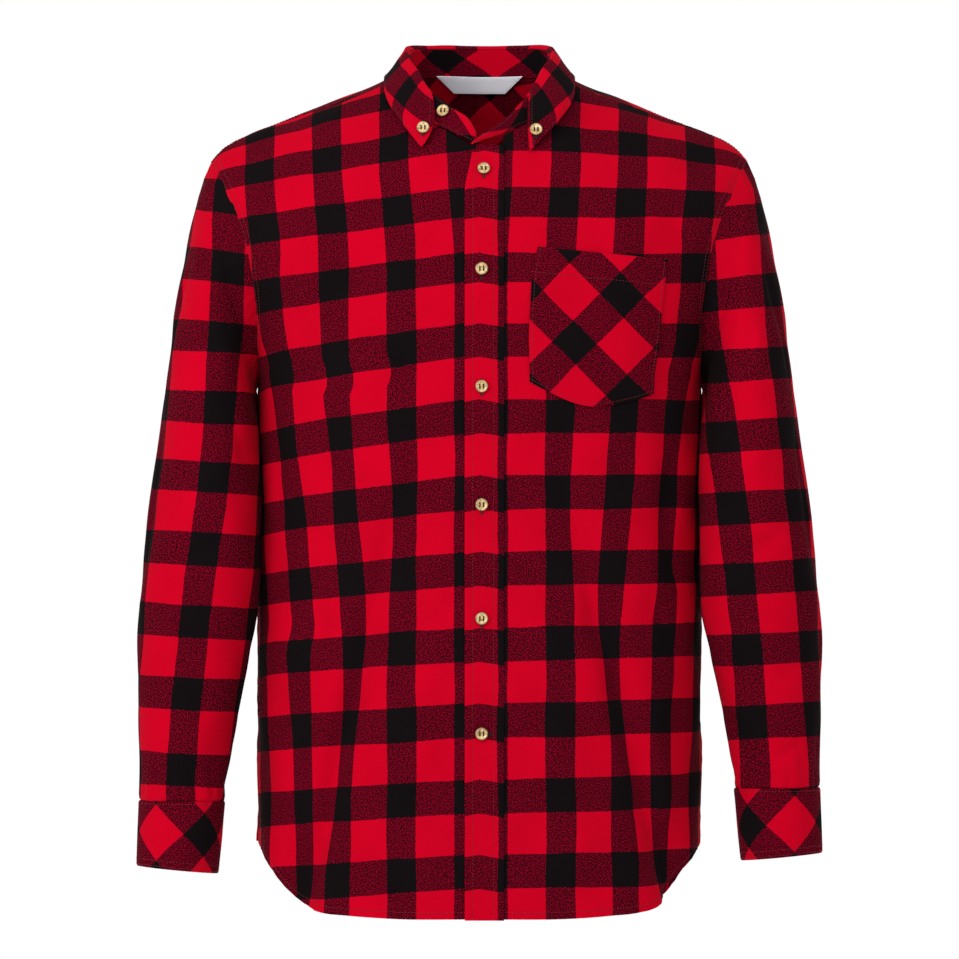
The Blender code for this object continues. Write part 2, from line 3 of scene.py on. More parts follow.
import bmesh
import bpy
import numpy as np
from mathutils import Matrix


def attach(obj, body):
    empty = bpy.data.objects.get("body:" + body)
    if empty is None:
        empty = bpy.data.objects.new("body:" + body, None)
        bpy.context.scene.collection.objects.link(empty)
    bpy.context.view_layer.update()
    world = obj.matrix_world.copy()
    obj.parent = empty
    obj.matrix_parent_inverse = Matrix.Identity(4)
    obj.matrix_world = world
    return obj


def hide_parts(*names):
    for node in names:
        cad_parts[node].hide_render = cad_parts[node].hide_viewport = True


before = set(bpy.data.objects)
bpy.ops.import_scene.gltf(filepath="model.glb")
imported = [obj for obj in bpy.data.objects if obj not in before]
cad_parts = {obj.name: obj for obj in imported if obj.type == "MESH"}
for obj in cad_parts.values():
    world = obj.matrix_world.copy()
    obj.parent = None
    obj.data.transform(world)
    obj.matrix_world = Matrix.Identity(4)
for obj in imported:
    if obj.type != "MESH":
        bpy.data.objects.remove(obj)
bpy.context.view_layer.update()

print("frame loaded")

# Lengths are millimetres until a mesh is made. Heights count up from the hem,
# "over" is the distance in front of (below zero) or behind the shoulder ridge.
mm = 0.001
originHeight = 740.0

form = {
    "seam": 0.4, "cloth": 1.5, "power": 2.4, "shoulderRadius": 110.0,
    "armpit": 490.0, "backSeamHeight": 690.0,
}
levels = {
    "height": (-20, 80, 200, 320, 430, 490, 520, 553, 586, 621, 648, 673, 700, 730, 760, 820),
    "half": (206, 206, 206, 206, 206, 206, 210, 216, 226, 238, 250, 262, 269, 273, 276, 280),
    "front": (127, 129, 128, 126, 129, 131, 132, 132, 130, 126, 120, 112, 99, 90, 84, 78),
    "back": (123, 124, 121, 119, 124, 128, 129, 129, 128, 125, 120, 114, 106, 98, 90, 82),
}
ridge = {  # top line of the shoulders, from the neck out
    "out": (0, 30, 55, 73, 88, 105, 121, 153, 186, 215, 230, 240, 249, 258),
    "height": (812, 806, 795, 785, 776.5, 769, 763, 750, 737, 725, 718.5, 711.5, 700.5, 686),
}
armhole = {
    "height": (490, 520, 553, 586, 621, 648, 673, 690, 701),
    "front": (206, 206, 206.5, 210, 216, 224, 236, 244, 249),
    "back": (206, 208, 212, 218, 226, 233, 241, 246, 249),
}
hem = {
    "out": (0, 84, 123, 145, 164, 174, 182, 191, 206),
    "height": (0, 0.5, 3, 5, 10, 16, 27, 42, 67),
}
neck = {  # neck seam from the centre back to the centre front
    "place": (0, 0.16, 0.3, 0.42, 0.5, 0.55, 0.6, 0.66, 0.72, 0.8, 0.9, 1),
    "out": (0, 27, 55, 72.5, 76, 74, 70, 65, 58, 46, 26, 8),
    "over": (83, 78, 58, 12, -38, -60, -80, -98, -112, -126, -144, -160),
}
neckFront = {"out": neck["out"][:3:-1], "over": neck["over"][:3:-1]}
yokeFront = {
    "out": (76, 90, 121, 153, 186, 215, 249),
    "over": (-38, -33, -34, -22, -12, -9, -8),
}
frontLines = (8, 26, 46, 58, 65, 70, 74, 76, 90, 112, 140, 172, 204, 232, 249)
yokeLines = (249, 232, 204, 172, 140, 112, 90, 76)
backLines = (246, 227, 198, 163, 129, 99, 79, 66)
backNeckLines = (52, 36, 19, 0)

# Drape folds: a trough sinks in, "takes" is the width of cloth that it takes up.
foldColumns = ("side", "xTop", "xLow", "top", "low", "width", "depth", "takes")
folds = (
    (-1, -45, -183, 500, -60, 14, 11, 22),
    (-1, -128, -152, 520, 240, 13, 4, 8),
    (-1, -160, -180, 250, -60, 12, 5, 9),
    (-1, -20, -62, 470, 120, 22, -3, 0),
    (-1, -86, -120, 560, 330, 20, -3, 0),
    (-1, 50, 204, 500, -60, 14, 11, 22),
    (-1, 168, 180, 540, 300, 13, 4, 9),
    (-1, 182, 192, 250, -60, 11, 4, 7),
    (-1, 64, 100, 330, -60, 18, -4, 0),
    (-1, -122, -58, 650, 470, 26, 3, 0),
    (-1, 120, 70, 660, 520, 24, 2.5, 0),
    (1, -92, -118, 560, -60, 22, 9, 10),
    (1, -20, -34, 420, -60, 18, 6, 5),
    (1, 60, 78, 600, -60, 22, 9, 10),
    (1, 140, 152, 330, -60, 16, 6, 6),
    (1, -160, -150, 640, 380, 20, 4, 4),
    (1, 150, 172, 640, 430, 18, 4, 4),
)


def curveAt(table, along, column, at):
    xs = np.asarray(table[along], float)
    ys = np.asarray(table[column], float)
    steps = np.diff(xs)
    slopes = np.diff(ys) / steps
    inner = (slopes[:-1] * steps[1:] + slopes[1:] * steps[:-1]) / (steps[:-1] + steps[1:])
    inner = np.where(slopes[:-1] * slopes[1:] <= 0, 0.0, inner)
    tangent = np.concatenate([slopes[:1], inner, slopes[-1:]])
    at = np.clip(at, xs[0], xs[-1])
    i = np.clip(np.searchsorted(xs, at) - 1, 0, len(steps) - 1)
    t = (at - xs[i]) / steps[i]
    return ((1 + 2 * t) * (1 - t) ** 2 * ys[i] + t * (1 - t) ** 2 * steps[i] * tangent[i]
            + t * t * (3 - 2 * t) * ys[i + 1] + t * t * (t - 1) * steps[i] * tangent[i + 1])


def ease(t):
    t = np.clip(t, 0.0, 1.0)
    return t * t * (3 - 2 * t)


def ridgeAt(x):
    return curveAt(ridge, "out", "height", np.abs(x))


def dropOf(over):
    radius = form["shoulderRadius"]
    reach = np.abs(over)
    arc = radius * (1 - np.cos(np.minimum(reach / radius, math.pi / 2)))
    return arc + np.maximum(reach - radius * math.pi / 2, 0.0)


def overOf(drop):
    radius = form["shoulderRadius"]
    arc = radius * np.arccos(np.clip(1 - drop / radius, 0.0, 1.0))
    return arc + np.maximum(drop - radius, 0.0)


def foldAt(side, x, h):
    sink = np.zeros(np.broadcast(x, h).shape)
    takes = np.zeros_like(sink)
    for row in folds:
        fold = dict(zip(foldColumns, row))
        along = (fold["top"] - h) / (fold["top"] - fold["low"])
        middle = fold["xTop"] + (fold["xLow"] - fold["xTop"]) * np.clip(along, 0, 1)
        fade = ease(1.8 * along) * ease(8 * (1 - along)) * (np.asarray(side) == fold["side"])
        away = (x - middle) / fold["width"]
        sink = sink + fold["depth"] * fade * np.exp(-away ** 2)
        takes = takes + fold["takes"] * fade * 0.5 * (np.tanh(1.1 * away)
                                                      + math.copysign(1, fold["xTop"]))
    return sink, takes


def halfAt(h):
    return curveAt(levels, "height", "half", h)


def angleAt(x, h):
    share = np.minimum(np.abs(x) / halfAt(h), 1.0)
    return np.sign(x) * np.arcsin(share ** (form["power"] / 2))


def xOf(angle, h):
    sine = np.sin(angle)
    return halfAt(h) * np.sign(sine) * np.abs(sine) ** (2 / form["power"])


def bodyPoint(angle, h, side, out=0.0, folded=True):
    power = form["power"]
    angle, h, side = np.broadcast_arrays(angle, h, side)
    half = halfAt(h)
    depth = np.where(side < 0, curveAt(levels, "height", "front", h),
                     curveAt(levels, "height", "back", h))
    cosine = np.maximum(np.cos(angle), 0.0) ** (2 / power)
    x = xOf(angle, h)
    lean = np.minimum(overOf(ridgeAt(x) - h) / form["shoulderRadius"], math.pi / 2)
    y = side * depth * cosine * np.sin(lean)
    normalX = np.sign(x) * np.abs(x / half) ** (power - 1) / half
    normalY = side * cosine ** (power - 1) / depth
    length = np.hypot(normalX, normalY)
    move = out - (foldAt(side, x, h)[0] if folded else 0.0)
    return np.stack([x + move * normalX / length, y + move * normalY / length, h], axis=-1)


def formPoint(x, over, out=0.0):
    h = ridgeAt(x) - dropOf(over)
    return bodyPoint(angleAt(x, h), h, np.where(np.asarray(over) < 0, -1, 1), out)


def frontPoint(x, h, out=0.0):
    x, h = np.broadcast_arrays(np.asarray(x, float), np.asarray(h, float))
    return bodyPoint(angleAt(x, h), h, -1, out)


def armholeOut(h, side):
    column = "front" if side < 0 else "back"
    return np.where(h <= form["armpit"], halfAt(h), curveAt(armhole, "height", column, h))


def neckOver(x):
    return -curveAt(neckFront, "out", "over", np.abs(x))


def frontTop(x):
    seam = -curveAt(yokeFront, "out", "over", np.abs(x)) + 3 * form["seam"]
    return np.where(np.abs(x) < 76, neckOver(x) + form["seam"], seam)


def backTop(x):
    return overOf(ridgeAt(x) - form["backSeamHeight"]) + 2 * form["seam"]


def refined(stops, step):
    parts = [np.linspace(a, b, max(2, math.ceil(abs(b - a) / step)) + 1)[:-1]
             for a, b in zip(stops, stops[1:])]
    return np.concatenate(parts + [np.array(stops[-1:], float)])


def panelGrid(inner, hand, side, topX, rows, topOver, hemLift):
    topX = np.asarray(topX, float)
    hand = np.broadcast_to(hand, topX.shape)
    head = ridgeAt(topX) - dropOf(topOver(topX))

    def angleOf(h, share):
        first = angleAt(inner, h)
        last = (hand if np.ndim(h) == 1 else hand[:, None]) * angleAt(armholeOut(h, side), h)
        return first + (last - first) * share

    first, last = angleOf(head, 0.0), angleOf(head, 1.0)
    share = (angleAt(topX, head) - first) / (last - first)
    share = np.where(share > 0.99, 1.0, np.minimum(share, 1.0))
    foot = np.full(len(topX), 20.0)
    for _ in range(12):
        foot = hemLift + curveAt(hem, "out", "height", np.abs(xOf(angleOf(foot, share), foot)))
    lowOver = overOf(ridgeAt(xOf(angleOf(foot, share), foot)) - foot)
    highOver = overOf(ridgeAt(xOf(angleOf(head, share), head)) - head)
    over = lowOver[:, None] + (highOver - lowOver)[:, None] * rows
    h = foot[:, None] + (head - foot)[:, None] * rows
    for _ in range(30):
        h = 0.5 * h + 0.5 * (ridgeAt(xOf(angleOf(h, share[:, None]), h)) - dropOf(over))
    h[:, 0], h[:, -1] = foot, head
    angle = angleOf(h, share[:, None])
    return bodyPoint(angle, h, side), bodyPoint(angle, h, side, folded=False)


def normalsOf(grid, closed=False):
    if closed:
        across = np.roll(grid, -1, axis=0) - np.roll(grid, 1, axis=0)
    else:
        across = np.gradient(grid, axis=0)
    normal = np.cross(across, np.gradient(grid, axis=1))
    return normal / np.maximum(np.linalg.norm(normal, axis=-1, keepdims=True), 1e-9)


def lengthsAlong(lines):
    steps = np.linalg.norm(np.diff(lines, axis=1), axis=-1)
    return np.concatenate([np.zeros((len(lines), 1)), np.cumsum(steps, axis=1)], axis=1)


def lengthsAround(grid):
    steps = np.linalg.norm(np.diff(grid, axis=0), axis=-1)
    return np.concatenate([np.zeros((1, *steps.shape[1:])), np.cumsum(steps, axis=0)])


def runInside(grid, edge, distance):
    lines = grid if edge in ("low", "high") else grid.transpose(1, 0, 2)
    lines = lines[:, ::-1] if edge in ("high", "last") else lines
    lengths = lengthsAlong(lines[:, :, :3])
    return np.array([[np.interp(distance, length, line[:, k]) for k in range(line.shape[1])]
                     for line, length in zip(lines, lengths)])


# Cloth coordinates.
weave = {"warpPeriod": 62.5, "warpRed": 35.0, "weftPeriod": 70.0, "weftDark": 31.5}


def turned(u, v, degrees, aboutU=0.0, aboutV=0.0):
    a = math.radians(degrees)
    u, v = u - aboutU, v - aboutV
    return np.stack([u * math.cos(a) - v * math.sin(a), u * math.sin(a) + v * math.cos(a)], axis=-1)


# Materials.
def toLinear(code):
    parts = [int(code[i:i + 2], 16) / 255 for i in (1, 3, 5)]
    return tuple(c / 12.92 if c <= 0.04045 else ((c + 0.055) / 1.055) ** 2.4 for c in parts) + (1.0,
            )


def addNode(tree, kind, settings=None, links=None):
    node = tree.nodes.new(kind)
    for key, value in (settings or {}).items():
        if isinstance(key, int) or key in node.inputs:
            node.inputs[key].default_value = value
        else:
            setattr(node, key, value)
    for key, source in (links or {}).items():
        tree.links.new(source, node.inputs[key])
    return node


def newMaterial(name):
    material = bpy.data.materials.new(name)
    material.use_nodes = True
    return material, material.node_tree, material.node_tree.nodes["Principled BSDF"]


flannelLook = {
    "red": "#a10018", "mixedRed": "#a40029", "dark": "#0c0809", "mixedDark": "#0d0205",
    "slowWander": 2.2,
    "nearWander": 0.7, "speckle": 0.85, "twill": 1.6, "rough": 0.95, "gloss": 0.02,
    "sheen": 0.015, "sheenTint": "#c98f8c",
}


def makeFlannel():
    # Brushed cotton flannel, yarn-dyed and woven in a 2/2 twill: matt, with a soft
    # nap that blurs the check's edges and gives a faint bloom where it turns away.
    look = flannelLook
    material, tree, shader = newMaterial("brushedCottonFlannel")
    cloth = addNode(tree, "ShaderNodeUVMap", {"uv_map": "cloth"})
    inMm = addNode(tree, "ShaderNodeMapping", {"Scale": (1000, 1000, 1000)},
                   {"Vector": cloth.outputs["UV"]})
    moved = inMm.outputs["Vector"]
    for scale, reach, detail in ((0.014, look["slowWander"], 1.0), (0.3, look["nearWander"], 2.0)):
        noise = addNode(tree, "ShaderNodeTexNoise", {"Scale": scale, "Detail": detail},
                        {"Vector": inMm.outputs["Vector"]})
        centred = addNode(tree, "ShaderNodeVectorMath",
                          {"operation": "SUBTRACT", 1: (0.5, 0.5, 0.5)},
                          {0: noise.outputs["Color"]})
        sized = addNode(tree, "ShaderNodeVectorMath", {"operation": "SCALE", "Scale": 2 * reach},
                        {0: centred.outputs["Vector"]})
        added = addNode(tree, "ShaderNodeVectorMath", {"operation": "ADD"},
                        {0: moved, 1: sized.outputs["Vector"]})
        moved = added.outputs["Vector"]
    split = addNode(tree, "ShaderNodeSeparateXYZ", {}, {"Vector": moved})
    reds = []
    for axis, period, share, test in (("X", weave["warpPeriod"], weave["warpRed"], "LESS_THAN"),
                                      ("Y", weave["weftPeriod"], weave["weftDark"],
                                       "GREATER_THAN")):
        count = addNode(tree, "ShaderNodeMath", {"operation": "DIVIDE", 1: period},
                        {0: split.outputs[axis]})
        part = addNode(tree, "ShaderNodeMath", {"operation": "FRACT"}, {0: count.outputs[0]})
        reds.append(addNode(tree, "ShaderNodeMath", {"operation": test, 1: share / period},
                            {0: part.outputs[0]}).outputs[0])
    both = addNode(tree, "ShaderNodeMath", {"operation": "MINIMUM"}, {0: reds[0], 1: reds[1]})
    either = addNode(tree, "ShaderNodeMath", {"operation": "MAXIMUM"}, {0: reds[0], 1: reds[1]})
    mixed = addNode(tree, "ShaderNodeMath", {"operation": "SUBTRACT"},
                    {0: either.outputs[0], 1: both.outputs[0]})
    # Yarns are 0.5 mm apart, too fine to show here: the flecks are drawn 1 mm wide.
    fleck = addNode(tree, "ShaderNodeTexNoise",
                    {"Scale": look["speckle"], "Detail": 2.0, "Roughness": 0.75},
                    {"Vector": inMm.outputs["Vector"]})
    twill = addNode(tree, "ShaderNodeTexWave",
                    {"wave_type": "BANDS", "bands_direction": "DIAGONAL",
                     "Scale": 0.314 / look["twill"], "Distortion": 4.0, "Detail": 1.0,
                     "Detail Scale": 2.0}, {"Vector": inMm.outputs["Vector"]})
    rib = addNode(tree, "ShaderNodeMath", {"operation": "MULTIPLY_ADD", 1: 0.05, 2: -0.025},
                  {0: twill.outputs["Fac"]})
    fleckRib = addNode(tree, "ShaderNodeMath", {"operation": "ADD"},
                       {0: fleck.outputs["Fac"], 1: rib.outputs[0]})
    share = addNode(tree, "ShaderNodeMapRange",
                    {"From Min": 0.45, "From Max": 0.67, "To Min": 0.0, "To Max": 0.60},
                    {"Value": fleckRib.outputs[0]})
    shown = addNode(tree, "ShaderNodeMath", {"operation": "MULTIPLY_ADD"},
                    {0: mixed.outputs[0], 1: share.outputs[0], 2: both.outputs[0]})
    colour = addNode(tree, "ShaderNodeMix", {"data_type": "RGBA"})
    for place, plain, amid in ((6, "dark", "mixedDark"), (7, "red", "mixedRed")):
        yarn = addNode(tree, "ShaderNodeMix", {"data_type": "RGBA"}, {0: mixed.outputs[0]})
        yarn.inputs[6].default_value = toLinear(look[plain])
        yarn.inputs[7].default_value = toLinear(look[amid])
        tree.links.new(yarn.outputs[2], colour.inputs[place])
    tree.links.new(shown.outputs[0], colour.inputs[0])
    slow = addNode(tree, "ShaderNodeTexNoise", {"Scale": 0.02, "Detail": 3.0},
                   {"Vector": inMm.outputs["Vector"]})
    fine = addNode(tree, "ShaderNodeMapRange",
                   {"From Min": 0.3, "From Max": 0.7, "To Min": 0.93, "To Max": 1.05},
                   {"Value": slow.outputs["Fac"]})
    fineFleck = addNode(tree, "ShaderNodeMapRange",
                        {"From Min": 0.3, "From Max": 0.7, "To Min": 0.90, "To Max": 1.08},
                        {"Value": fleck.outputs["Fac"]})
    tone = addNode(tree, "ShaderNodeMath", {"operation": "MULTIPLY"},
                   {0: fine.outputs[0], 1: fineFleck.outputs[0]})
    shaded = addNode(tree, "ShaderNodeVectorMath", {"operation": "SCALE"},
                     {0: colour.outputs[2], "Scale": tone.outputs[0]})
    tree.links.new(shaded.outputs["Vector"], shader.inputs["Base Color"])
    ribs = addNode(tree, "ShaderNodeBump", {"Strength": 0.25, "Distance": 0.0004},
                   {"Height": fleckRib.outputs[0]})
    nap = addNode(tree, "ShaderNodeTexNoise", {"Scale": 0.16, "Detail": 4.0},
                  {"Vector": inMm.outputs["Vector"]})
    soft = addNode(tree, "ShaderNodeBump", {"Strength": 0.25, "Distance": 0.0015},
                   {"Height": nap.outputs["Fac"], "Normal": ribs.outputs["Normal"]})
    tree.links.new(soft.outputs["Normal"], shader.inputs["Normal"])
    shader.inputs["Roughness"].default_value = look["rough"]
    shader.inputs["Specular IOR Level"].default_value = look["gloss"]
    shader.inputs["Sheen Weight"].default_value = look["sheen"]
    shader.inputs["Sheen Roughness"].default_value = 0.45
    shader.inputs["Sheen Tint"].default_value = toLinear(look["sheenTint"])
    return material


def makeThread(name, code):
    # Spun polyester sewing thread: matt, with a slight lengthwise gleam.
    material, tree, shader = newMaterial(name)
    place = addNode(tree, "ShaderNodeTexCoord")
    noise = addNode(tree, "ShaderNodeTexNoise", {"Scale": 900.0},
                    {"Vector": place.outputs["Object"]})
    tone = addNode(tree, "ShaderNodeMapRange", {"From Min": 0.3, "From Max": 0.7},
                   {"Value": noise.outputs["Fac"]})
    base = addNode(tree, "ShaderNodeMix", {"data_type": "RGBA"}, {0: tone.outputs[0]})
    shade = toLinear(code)
    base.inputs[6].default_value = tuple(0.75 * c for c in shade[:3]) + (1.0,)
    base.inputs[7].default_value = tuple(1.2 * c for c in shade[:3]) + (1.0,)
    tree.links.new(base.outputs[2], shader.inputs["Base Color"])
    shader.inputs["Roughness"].default_value = 0.6
    shader.inputs["Specular IOR Level"].default_value = 0.3
    return material


buttonLook = {"face": "#80602f", "cream": "#cbae74", "rim": "#452c0f"}


def makeHorn():
    # Turned polyester horn-effect button: cream with gold-brown clouds, glossy rim.
    material, tree, shader = newMaterial("turnedHornEffectResin")
    place = addNode(tree, "ShaderNodeTexCoord")
    rim = addNode(tree, "ShaderNodeAttribute", {"attribute_name": "rim"})
    clouds = addNode(tree, "ShaderNodeTexNoise", {"Scale": 260.0, "Detail": 4.0, "Distortion": 1.4},
                     {"Vector": place.outputs["Object"]})
    streak = addNode(tree, "ShaderNodeMapRange", {"From Min": 0.35, "From Max": 0.65},
                     {"Value": clouds.outputs["Fac"]})
    face = addNode(tree, "ShaderNodeMix", {"data_type": "RGBA"})
    face.inputs[6].default_value = toLinear(buttonLook["cream"])
    face.inputs[7].default_value = toLinear(buttonLook["face"])
    tree.links.new(streak.outputs[0], face.inputs[0])
    ring = addNode(tree, "ShaderNodeMapRange", {"From Min": 0.74, "From Max": 0.97},
                   {"Value": rim.outputs["Fac"]})
    edge = addNode(tree, "ShaderNodeMix", {"data_type": "RGBA"})
    edge.inputs[7].default_value = toLinear(buttonLook["rim"])
    tree.links.new(face.outputs[2], edge.inputs[6])
    tree.links.new(ring.outputs[0], edge.inputs[0])
    tree.links.new(edge.outputs[2], shader.inputs["Base Color"])
    shader.inputs["Roughness"].default_value = 0.22
    shader.inputs["IOR"].default_value = 1.53
    shader.inputs["Coat Weight"].default_value = 0.3
    shader.inputs["Coat Roughness"].default_value = 0.1
    return material


def makeSatin():
    # Woven satin label: white polyester, a faint sheen and fine cross ribs.
    material, tree, shader = newMaterial("wovenSatinLabel")
    cloth = addNode(tree, "ShaderNodeUVMap", {"uv_map": "cloth"})
    inMm = addNode(tree, "ShaderNodeMapping", {"Scale": (1000, 1000, 1000)},
                   {"Vector": cloth.outputs["UV"]})
    ribs = addNode(tree, "ShaderNodeTexWave",
                   {"bands_direction": "Y", "Scale": 0.35, "Distortion": 0.4},
                   {"Vector": inMm.outputs["Vector"]})
    tone = addNode(tree, "ShaderNodeMix", {"data_type": "RGBA"})
    tone.inputs[6].default_value = toLinear("#e2e1ec")
    tone.inputs[7].default_value = toLinear("#f3f2f6")
    tree.links.new(ribs.outputs["Fac"], tone.inputs[0])
    tree.links.new(tone.outputs[2], shader.inputs["Base Color"])
    bump = addNode(tree, "ShaderNodeBump", {"Strength": 0.2, "Distance": 0.0002},
                   {"Height": ribs.outputs["Fac"]})
    tree.links.new(bump.outputs["Normal"], shader.inputs["Normal"])
    shader.inputs["Roughness"].default_value = 0.42
    shader.inputs["Sheen Weight"].default_value = 0.2
    return material


flannel = makeFlannel()
redThread = makeThread("sewingThreadRed", "#5a0410")
darkThread = makeThread("sewingThreadBlack", "#0c0909")
horn = makeHorn()
satin = makeSatin()
print("materials made")


# Sheets.
def creaseAt(coords, rows):
    # Each row is one trough (or ridge, below zero): from, to, width and depth.
    sink = np.zeros(coords.shape[:2])
    for fromU, fromV, toU, toV, width, depth in rows:
        start = np.array([fromU, fromV], float)
        run = np.array([toU - fromU, toV - fromV], float)
        length = np.linalg.norm(run)
        run /= length
        here = coords - start
        along = (here @ run) / length
        away = here @ np.array([-run[1], run[0]])
        bow = 0.06 * length * np.sin(math.pi * np.clip(along, 0, 1)) * math.sin(fromU + toV)
        fade = ease(2.5 * np.clip(along, 0, 1)) * ease(2.5 * (1 - np.clip(along, 0, 1)))
        sink += depth * fade * np.exp(-((away - bow) / width) ** 2)
    return sink


waves = (  # across, up (mm a turn), start, depth: a slow unevenness in all the cloth
    (97, 151, 0.4, 0.55), (-71, 113, 1.9, 0.45), (53, -83, 3.1, 0.3), (37, 61, 5.2, 0.18),
)


def wavesAt(coords):
    total = np.zeros(coords.shape[:2])
    for across, up, start, depth in waves:
        total += depth * np.sin(2 * math.pi * (coords[..., 0] / across + coords[..., 1] / up)
                                + start)
    return total


def puckerAt(edgeAway, along, reach=6.0, depth=0.35, pitch=10.0):
    wave = np.sin(2 * math.pi * along / pitch + 2.3 * np.sin(along / 31.0) + np.sin(along / 7.3))
    return depth * np.exp(-np.abs(edgeAway) / reach) * wave


def dentAt(away, depth, width):
    # A line of stitches pulls the cloth in.
    return depth * np.exp(-(away / width) ** 2)


def roundedAt(depth, *edgesAway):
    # A folded edge is rolled, not sharp.
    return depth * sum(np.exp(-away / 0.9) for away in edgesAway)


sheets = {}


def addObject(name, data):
    made = bpy.data.objects.new(name, data)
    bpy.context.scene.collection.objects.link(made)
    return made


def meshOf(name, grid, coords, closed, flip, material):
    count, rows = grid.shape[:2]
    world = grid.reshape(-1, 3) * mm
    world[:, 2] -= originHeight * mm
    lines = count if closed else count - 1
    i, j = np.meshgrid(np.arange(lines), np.arange(rows - 1), indexing="ij")
    k = (i + 1) % count
    faces = np.stack([i * rows + j, k * rows + j, k * rows + j + 1, i * rows + j + 1], axis=-1)
    corners = np.stack([coords[i, j], coords[i + 1, j], coords[i + 1, j + 1], coords[i, j + 1]],
                       axis=2)
    if flip:
        faces, corners = faces[..., ::-1], corners[:, :, ::-1]
    mesh = bpy.data.meshes.new(name)
    mesh.from_pydata(world.tolist(), [], faces.reshape(-1, 4).tolist())
    layer = mesh.uv_layers.new(name="cloth")
    layer.data.foreach_set("uv", (corners.reshape(-1, 2) * mm).astype(np.float32).ravel())
    mesh.materials.append(material)
    return addObject(name, mesh)


def makePlain(piece):
    # Bakes the modifiers in, so that the piece is one plain mesh.
    graph = bpy.context.evaluated_depsgraph_get()
    mesh = bpy.data.meshes.new_from_object(piece.evaluated_get(graph))
    piece.modifiers.clear()
    old = piece.data
    piece.data = mesh
    bpy.data.meshes.remove(old)
    mesh.polygons.foreach_set("use_smooth", np.ones(len(mesh.polygons), bool))
    mesh.set_sharp_from_angle(angle=math.radians(48))
    mesh.update()


def declareSheet(piece, node):
    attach(piece, "root")
    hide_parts(node)


def sewSheet(name, node, grid, coords, pattern, flip=False, closed=False,
             creases=(), extra=None, thick=1.2, uneven=1.0, material=None):
    # coords are the cloth's own millimetres; pattern is where its check is read from.
    normals = normalsOf(grid, closed) * (-1 if flip else 1)
    base = coords[:-1] if closed else coords
    sink = creaseAt(base, creases) + uneven * wavesAt(base)
    if extra is not None:
        sink = sink + extra
    moved = grid - normals * sink[..., None]
    normals = normalsOf(moved, closed) * (-1 if flip else 1)
    sheets[name] = np.concatenate([moved, normals], axis=-1)
    piece = meshOf(name, moved, pattern, closed, flip, material or flannel)
    wall = piece.modifiers.new("wall", "SOLIDIFY")
    wall.thickness = thick * mm
    wall.offset = -1.0
    wall.use_rim = True
    makePlain(piece)
    declareSheet(piece, node)
    print("sewn", name, len(piece.data.polygons))


panelRows = np.concatenate([np.array([0, 0.0012, 0.0028, 0.005, 0.0075, 0.0095, 0.012, 0.0145]),
                            np.linspace(0.018, 0.985, 232), np.array([0.989, 0.993, 0.996, 1.0])])


def bodyCoords(flatGrid, inner, hand):
    # Across: the way round the body from its middle. Up: the way over the shoulder.
    steps = np.hypot(*np.moveaxis(np.diff(flatGrid[..., :2], axis=0), -1, 0))
    across = np.concatenate([np.zeros((1, flatGrid.shape[1])),
                             np.cumsum(steps, axis=0)]) + hand * inner
    x, h = flatGrid[..., 0], flatGrid[..., 2]
    radius = form["shoulderRadius"]
    up = ridgeAt(x) + radius * (math.pi / 2 - 1) - overOf(ridgeAt(x) - h)
    return across, up


def shoulderEase(h):
    # The weft closes up a little where the chest turns back to the shoulder.
    return 0.155 * np.maximum(h - 580, 0)


def chestAcross(across, x, h):
    # Above the chest the columns follow the width seen from the front.
    return across + (x - across) * ease((h - 450) / 150)


fronts = {
    -1: {"name": "frontRight", "node": "front_right", "inner": 13.0, "start": 23.3, "lean": 7.0,
         "rise": (0.065, 0.138), "weft": 447.5, "flat": (262, 790), "area": 0.204},
    1: {"name": "frontLeft", "node": "front_left", "inner": 21.8, "start": 26.0, "lean": 5.0,
        "rise": (-0.02, 0.0), "weft": 447.5, "flat": (235, 790), "area": 0.179},
}
frontCreases = {
    -1: ((60, 560, 150, 505, 9, 1.6), (110, 610, 190, 560, 10, -1.4), (190, 600, 140, 470, 10, 2.0),
         (40, 330, 95, 250, 9, 1.3), (150, 330, 205, 250, 9, 1.8), (120, 130, 190, 95, 8, 1.2),
         (70, 640, 110, 690, 8, 1.2), (205, 470, 180, 330, 9, 2.2)),
    1: ((60, 470, 120, 430, 9, 1.5), (190, 610, 150, 480, 10, 2.0), (170, 680, 210, 620, 8, 1.4),
        (40, 300, 90, 250, 9, 1.3), (150, 300, 205, 230, 9, 1.6), (110, 120, 180, 90, 8, 1.2),
        (206, 460, 186, 320, 9, 2.2)),
}


def sewFront(hand):
    cut = fronts[hand]
    lines = [x for x in frontLines if x > hand * cut["inner"] + 3]
    stops = [cut["inner"]] + [hand * x for x in lines]
    topX = refined(stops, 3.2)
    grid, flatGrid = panelGrid(cut["inner"], hand, -1, topX, panelRows, frontTop, 0.0)
    across, up = bodyCoords(flatGrid, cut["inner"], hand)
    h = flatGrid[..., 2]
    takes = hand * foldAt(-1, flatGrid[..., 0], h)[1]
    coords = np.stack([across, up], axis=-1)
    u = chestAcross(across, hand * flatGrid[..., 0],
                    h) + takes - cut["lean"] * ease((h - 600) / 110) - cut["start"]
    low, high = cut["rise"]
    rise = low + (high - low) * ease((h - 200) / 260)
    v = up + shoulderEase(h) + rise * (across - 13) - cut["weft"]
    hemPucker = puckerAt(up - curveAt(hem, "out", "height", np.abs(flatGrid[..., 0])), across, 9)
    sidePucker = puckerAt(across[-1:] - across, up, 7, 0.18, 16)
    sewSheet(cut["name"], cut["node"], grid, coords, np.stack([u, v], axis=-1),
             flip=hand < 0, creases=frontCreases[hand],
             extra=hemPucker + sidePucker)


for hand in (-1, 1):
    sewFront(hand)

